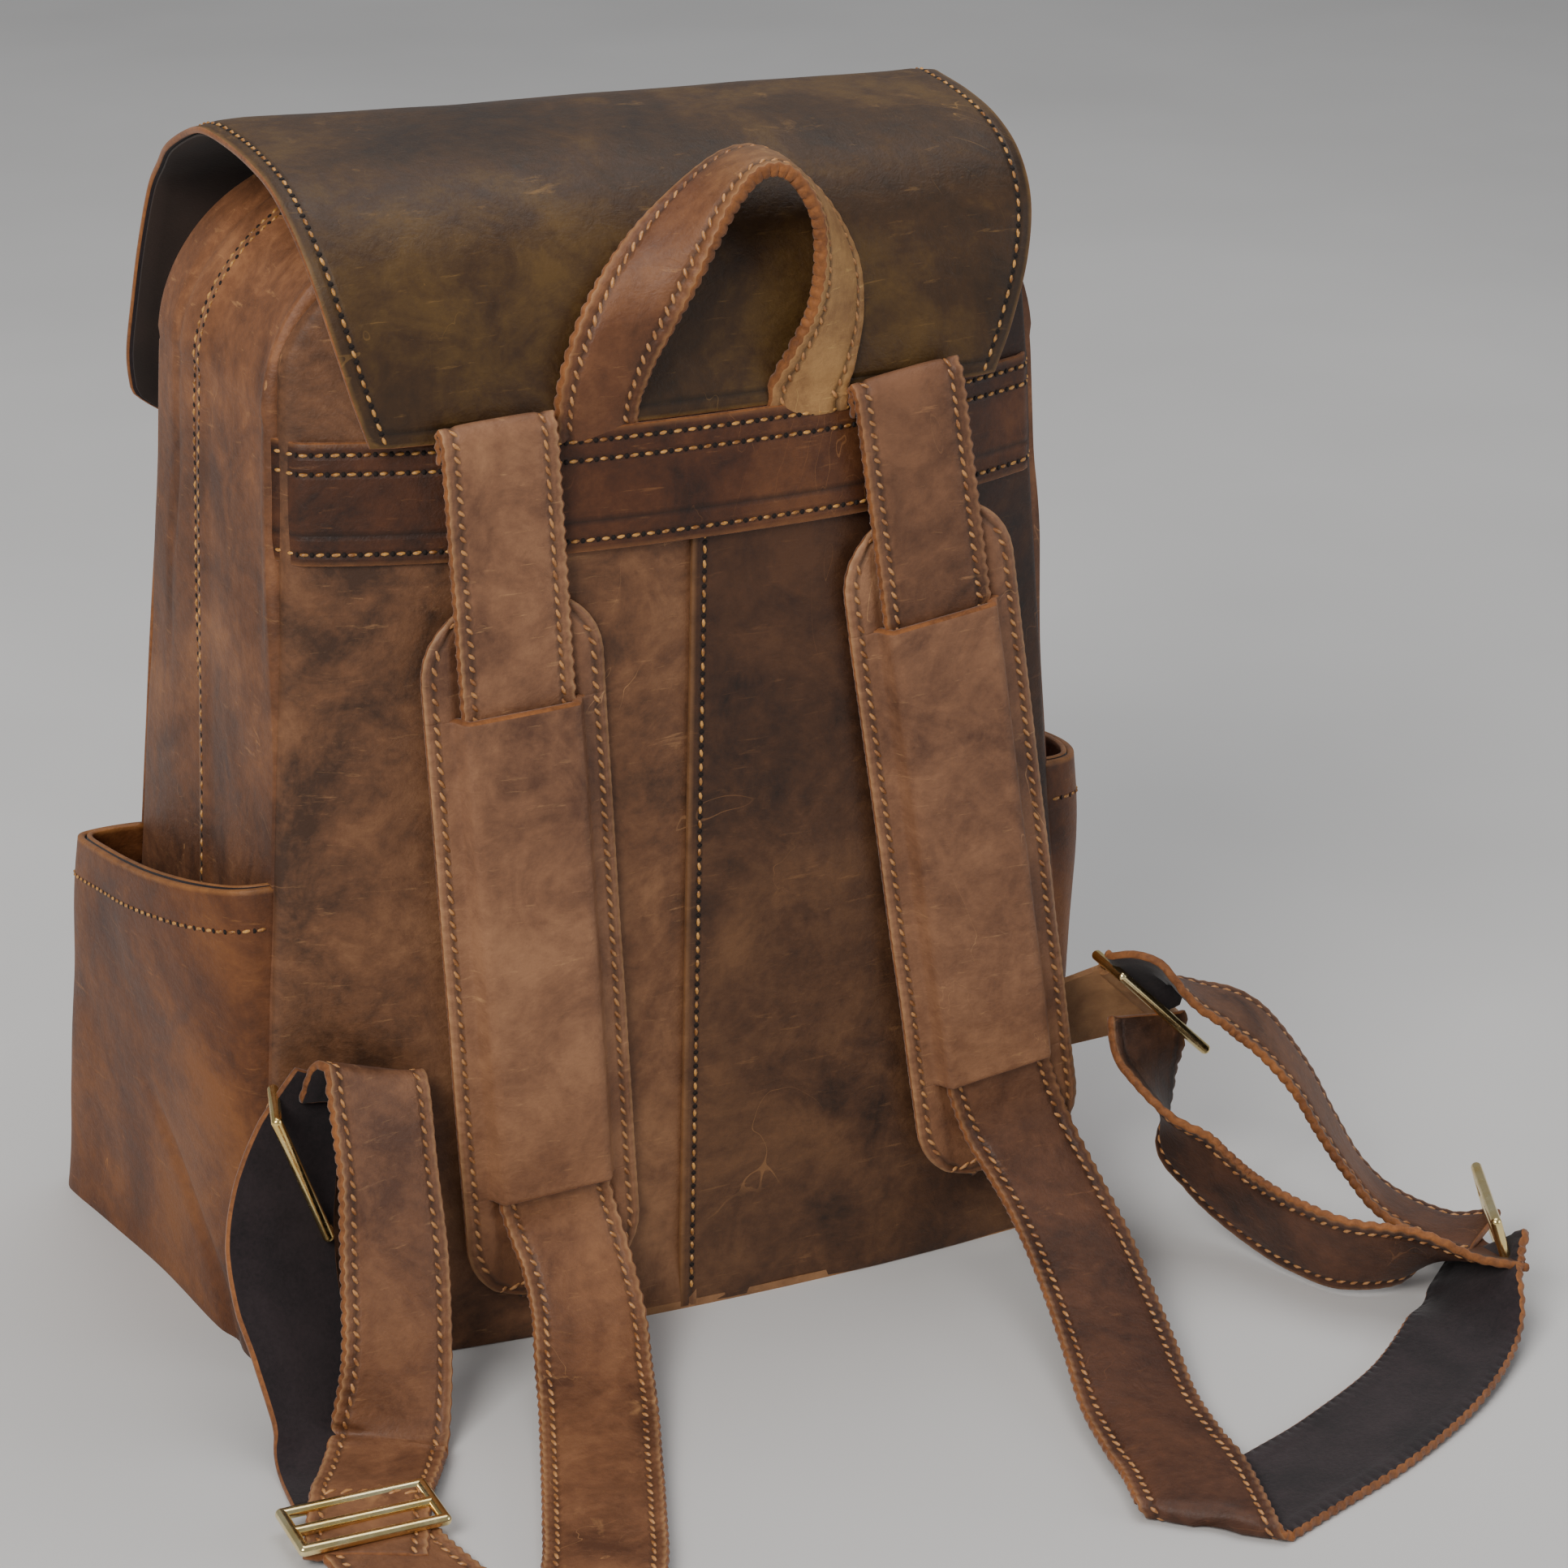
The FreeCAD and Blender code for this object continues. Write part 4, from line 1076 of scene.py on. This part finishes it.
def build_lower_straps():
    """The free straps from under the pads, along the floor and folded back to the sliders."""
    wider = (STRAP_WIDTH, STRAP_WIDTH, 42.0, 42.0, STRAP_WIDTH)
    plan = (("left", (255, 270, 277), LEFT_OUT, LEFT_BACK, Fold((112, 296, 7.5), (-1, 0.02, 0)),
             0.225, STRAP, STRAP_WIDTH),
            ("right", (244, 258, 264), RIGHT_OUT, RIGHT_BACK,
             Fold((-99, 313, 7.5), (-0.75, 0.66, 0)), 0.245, SHADED_STRAP, wider))
    for side, runs, out, back, fold, floor_y, hide, width in plan:
        route = [on_strap(side, run, y) for run, y in zip(runs, (112.0, 112.3, 112.6))]
        route += out + [fold.unfold(station) for station in back]
        flat = ribbon_grid(route, width)
        grid = np.array([[fold.fold(p) for p in row] for row in flat])
        laced_strip("lower_strap_hide_" + side, grid, STRAP_HIDE, hide, "strap_" + side,
                    ("lower_strap_" + side, "strap_return_" + side), False,
                    ("strap_" + side, "root", (0, 0.116, 0), (0, floor_y, 0)))


def build_legs():
    """Loop of strap from the slider up through the ring and back."""
    plan = (("left", "front", LEFT_FRONT, STRAP, STRAP_WIDTH),
            ("left", "rear", LEFT_REAR, FLESH,
             (20.0, 31.0, 37.0, 40.0, 40.0, 37.0, 33.0, 32.0, 32.0)),
            ("right", "lower", RIGHT_LOWER, (SHADED_STRAP, EDGE, SHADED_STRAP), STRAP_WIDTH - 1),
            ("right", "upper", RIGHT_UPPER, SHADED_STRAP, STRAP_WIDTH - 1))
    for side, label, route, hide, width in plan:
        bend = ("root", "ring_" + side, (0, 0.150, 0), (0, 0.118, 0))
        name = "leg_hide_%s_%s" % (side, label)
        if label == "rear":
            add_hide(name, ribbon_grid(route, width, 0.4, False), LEG_HIDE, hide, "root",
                     (), False, bend, ("v0", "v1"))
            continue
        nodes = () if label == "upper" else ("strap_leg_" + side,)
        track = laced_strip(name, ribbon_grid(route, width, -0.4), LEG_HIDE, hide, "root", nodes,
                            True, bend)
        if side == "left":
            add_stitches("leg_cross_stitches", [track.across(0.15)], "root", bend, LACE)


def build_closures():
    """Front closing straps on the flap."""
    for side, middle in (("left", 75.0), ("right", -75.0)):
        def surface(u, v):
            half = 12.5 - 6.4 * smooth((u - 0.86) / 0.14)
            t = 2 * v - 1
            return vec(middle + half * t, -89.6 - 9.0 * u - 0.4 * (1 - t ** 2), 275 - 110 * u)
        track = add_hide("closure_hide_" + side, evaluate(surface, 36, 13), POCKET_HIDE, STRAP,
                         "flap", ("closure_strap_" + side,))[1]
        rows = [track.beside(edge, 3.2, 0.05, 0.9) for edge in ("v0", "v1")]
        add_stitches("closure_stitches_" + side, rows, "flap")


def finish_cad_nodes():
    """Materials of the CAD pieces that show as they are."""
    metal = ("ring_", "slider_", "snap_male_", "snap_female_")
    wanted = {
        SEAM: ("bottom_panel",),
        EDGE: ("base_board",),
        STRAP: ["ring_tab_" + side for side in SIDES],
        CLOTH: ("lining_bag", "inner_sleeve", "zip_tape_rear", "zip_tape_front"),
        BRASS: ["zip_slider", "zip_pull", "zip_teeth"] + [m + side for m in metal for side in SIDES],
    }
    for material, names in wanted.items():
        for name in names:
            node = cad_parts[name]
            for slot in node.material_slots:
                slot.material = material
            for polygon in node.data.polygons:
                polygon.use_smooth = True


# ---- studio ----------------------------------
def build_stage():
    size = 6000.0
    corners = [(-size, -size, 0), (size, -size, 0), (size, size, 0), (-size, size, 0)]
    n = Nodes("pale_floor")
    tone = n.noise(3.0, 3.0)
    colour = n.ramp(tone, (0.3, [0.60, 0.59, 0.58, 1]), (0.7, [0.66, 0.65, 0.64, 1]))
    paper = n.shaded({"Base Color": colour, "Roughness": 0.7})
    new_piece("floor", corners, [(0, 1, 2, 3)], (paper,), [0])


def add_area(name, place, size, power, colour):
    """Soft light that looks at the middle of the bag."""
    light = bpy.data.lights.new(name, "AREA")
    light.shape = "RECTANGLE"
    light.size = size[0]
    light.size_y = size[1]
    light.energy = power
    light.color = colour
    lamp = bpy.data.objects.new(name, light)
    lamp.location = place
    towards = Vector((0, 0, 0.2)) - lamp.location
    lamp.rotation_euler = towards.to_track_quat("-Z", "Y").to_euler()
    bpy.context.collection.objects.link(lamp)


def build_lights():
    add_area("key", (1.7, 1.5, 1.9), (1.3, 1.3), 62, (1.0, 0.97, 0.93))
    add_area("fill", (-1.9, 1.6, 0.9), (1.6, 1.2), 13, (0.93, 0.96, 1.0))
    add_area("top", (-0.2, -0.3, 2.1), (1.6, 1.6), 20, (1.0, 1.0, 1.0))
    world = bpy.data.worlds.new("studio")
    world.use_nodes = True
    sky = world.node_tree.nodes["Background"].inputs
    sky["Color"].default_value = (0.82, 0.84, 0.87, 1)
    sky["Strength"].default_value = 0.32
    bpy.context.scene.world = world


def build_camera():
    azimuth, elevation, roll = math.radians(156.04), math.radians(21.86), math.radians(0.306)
    level_part = math.cos(elevation)
    back = Vector((math.sin(azimuth) * level_part, -math.cos(azimuth) * level_part,
                   math.sin(elevation)))
    right = Vector((0, 0, 1)).cross(back).normalized()
    up = back.cross(right)
    turned_right = right * math.cos(roll) + up * math.sin(roll)
    turned_up = up * math.cos(roll) - right * math.sin(roll)
    data = bpy.data.cameras.new("camera")
    data.sensor_width = 36.0
    data.lens = 101.81
    camera = bpy.data.objects.new("camera", data)
    bpy.context.collection.objects.link(camera)
    turn = Matrix((turned_right, turned_up, back)).transposed().to_4x4()
    camera.matrix_world = Matrix.Translation((0.5438, 1.4005, 0.7654)) @ turn
    bpy.context.scene.camera = camera


build_camera()
build_lights()
build_stage()
build_back()
build_band()
build_gussets()
build_front()
build_front_pocket()
build_side_pockets()
build_flap()
build_handle()
for strap_side in SIDES:
    build_shoulder_strap(strap_side)
    build_pad(strap_side)
build_lower_straps()
build_legs()
build_closures()
finish_cad_nodes()
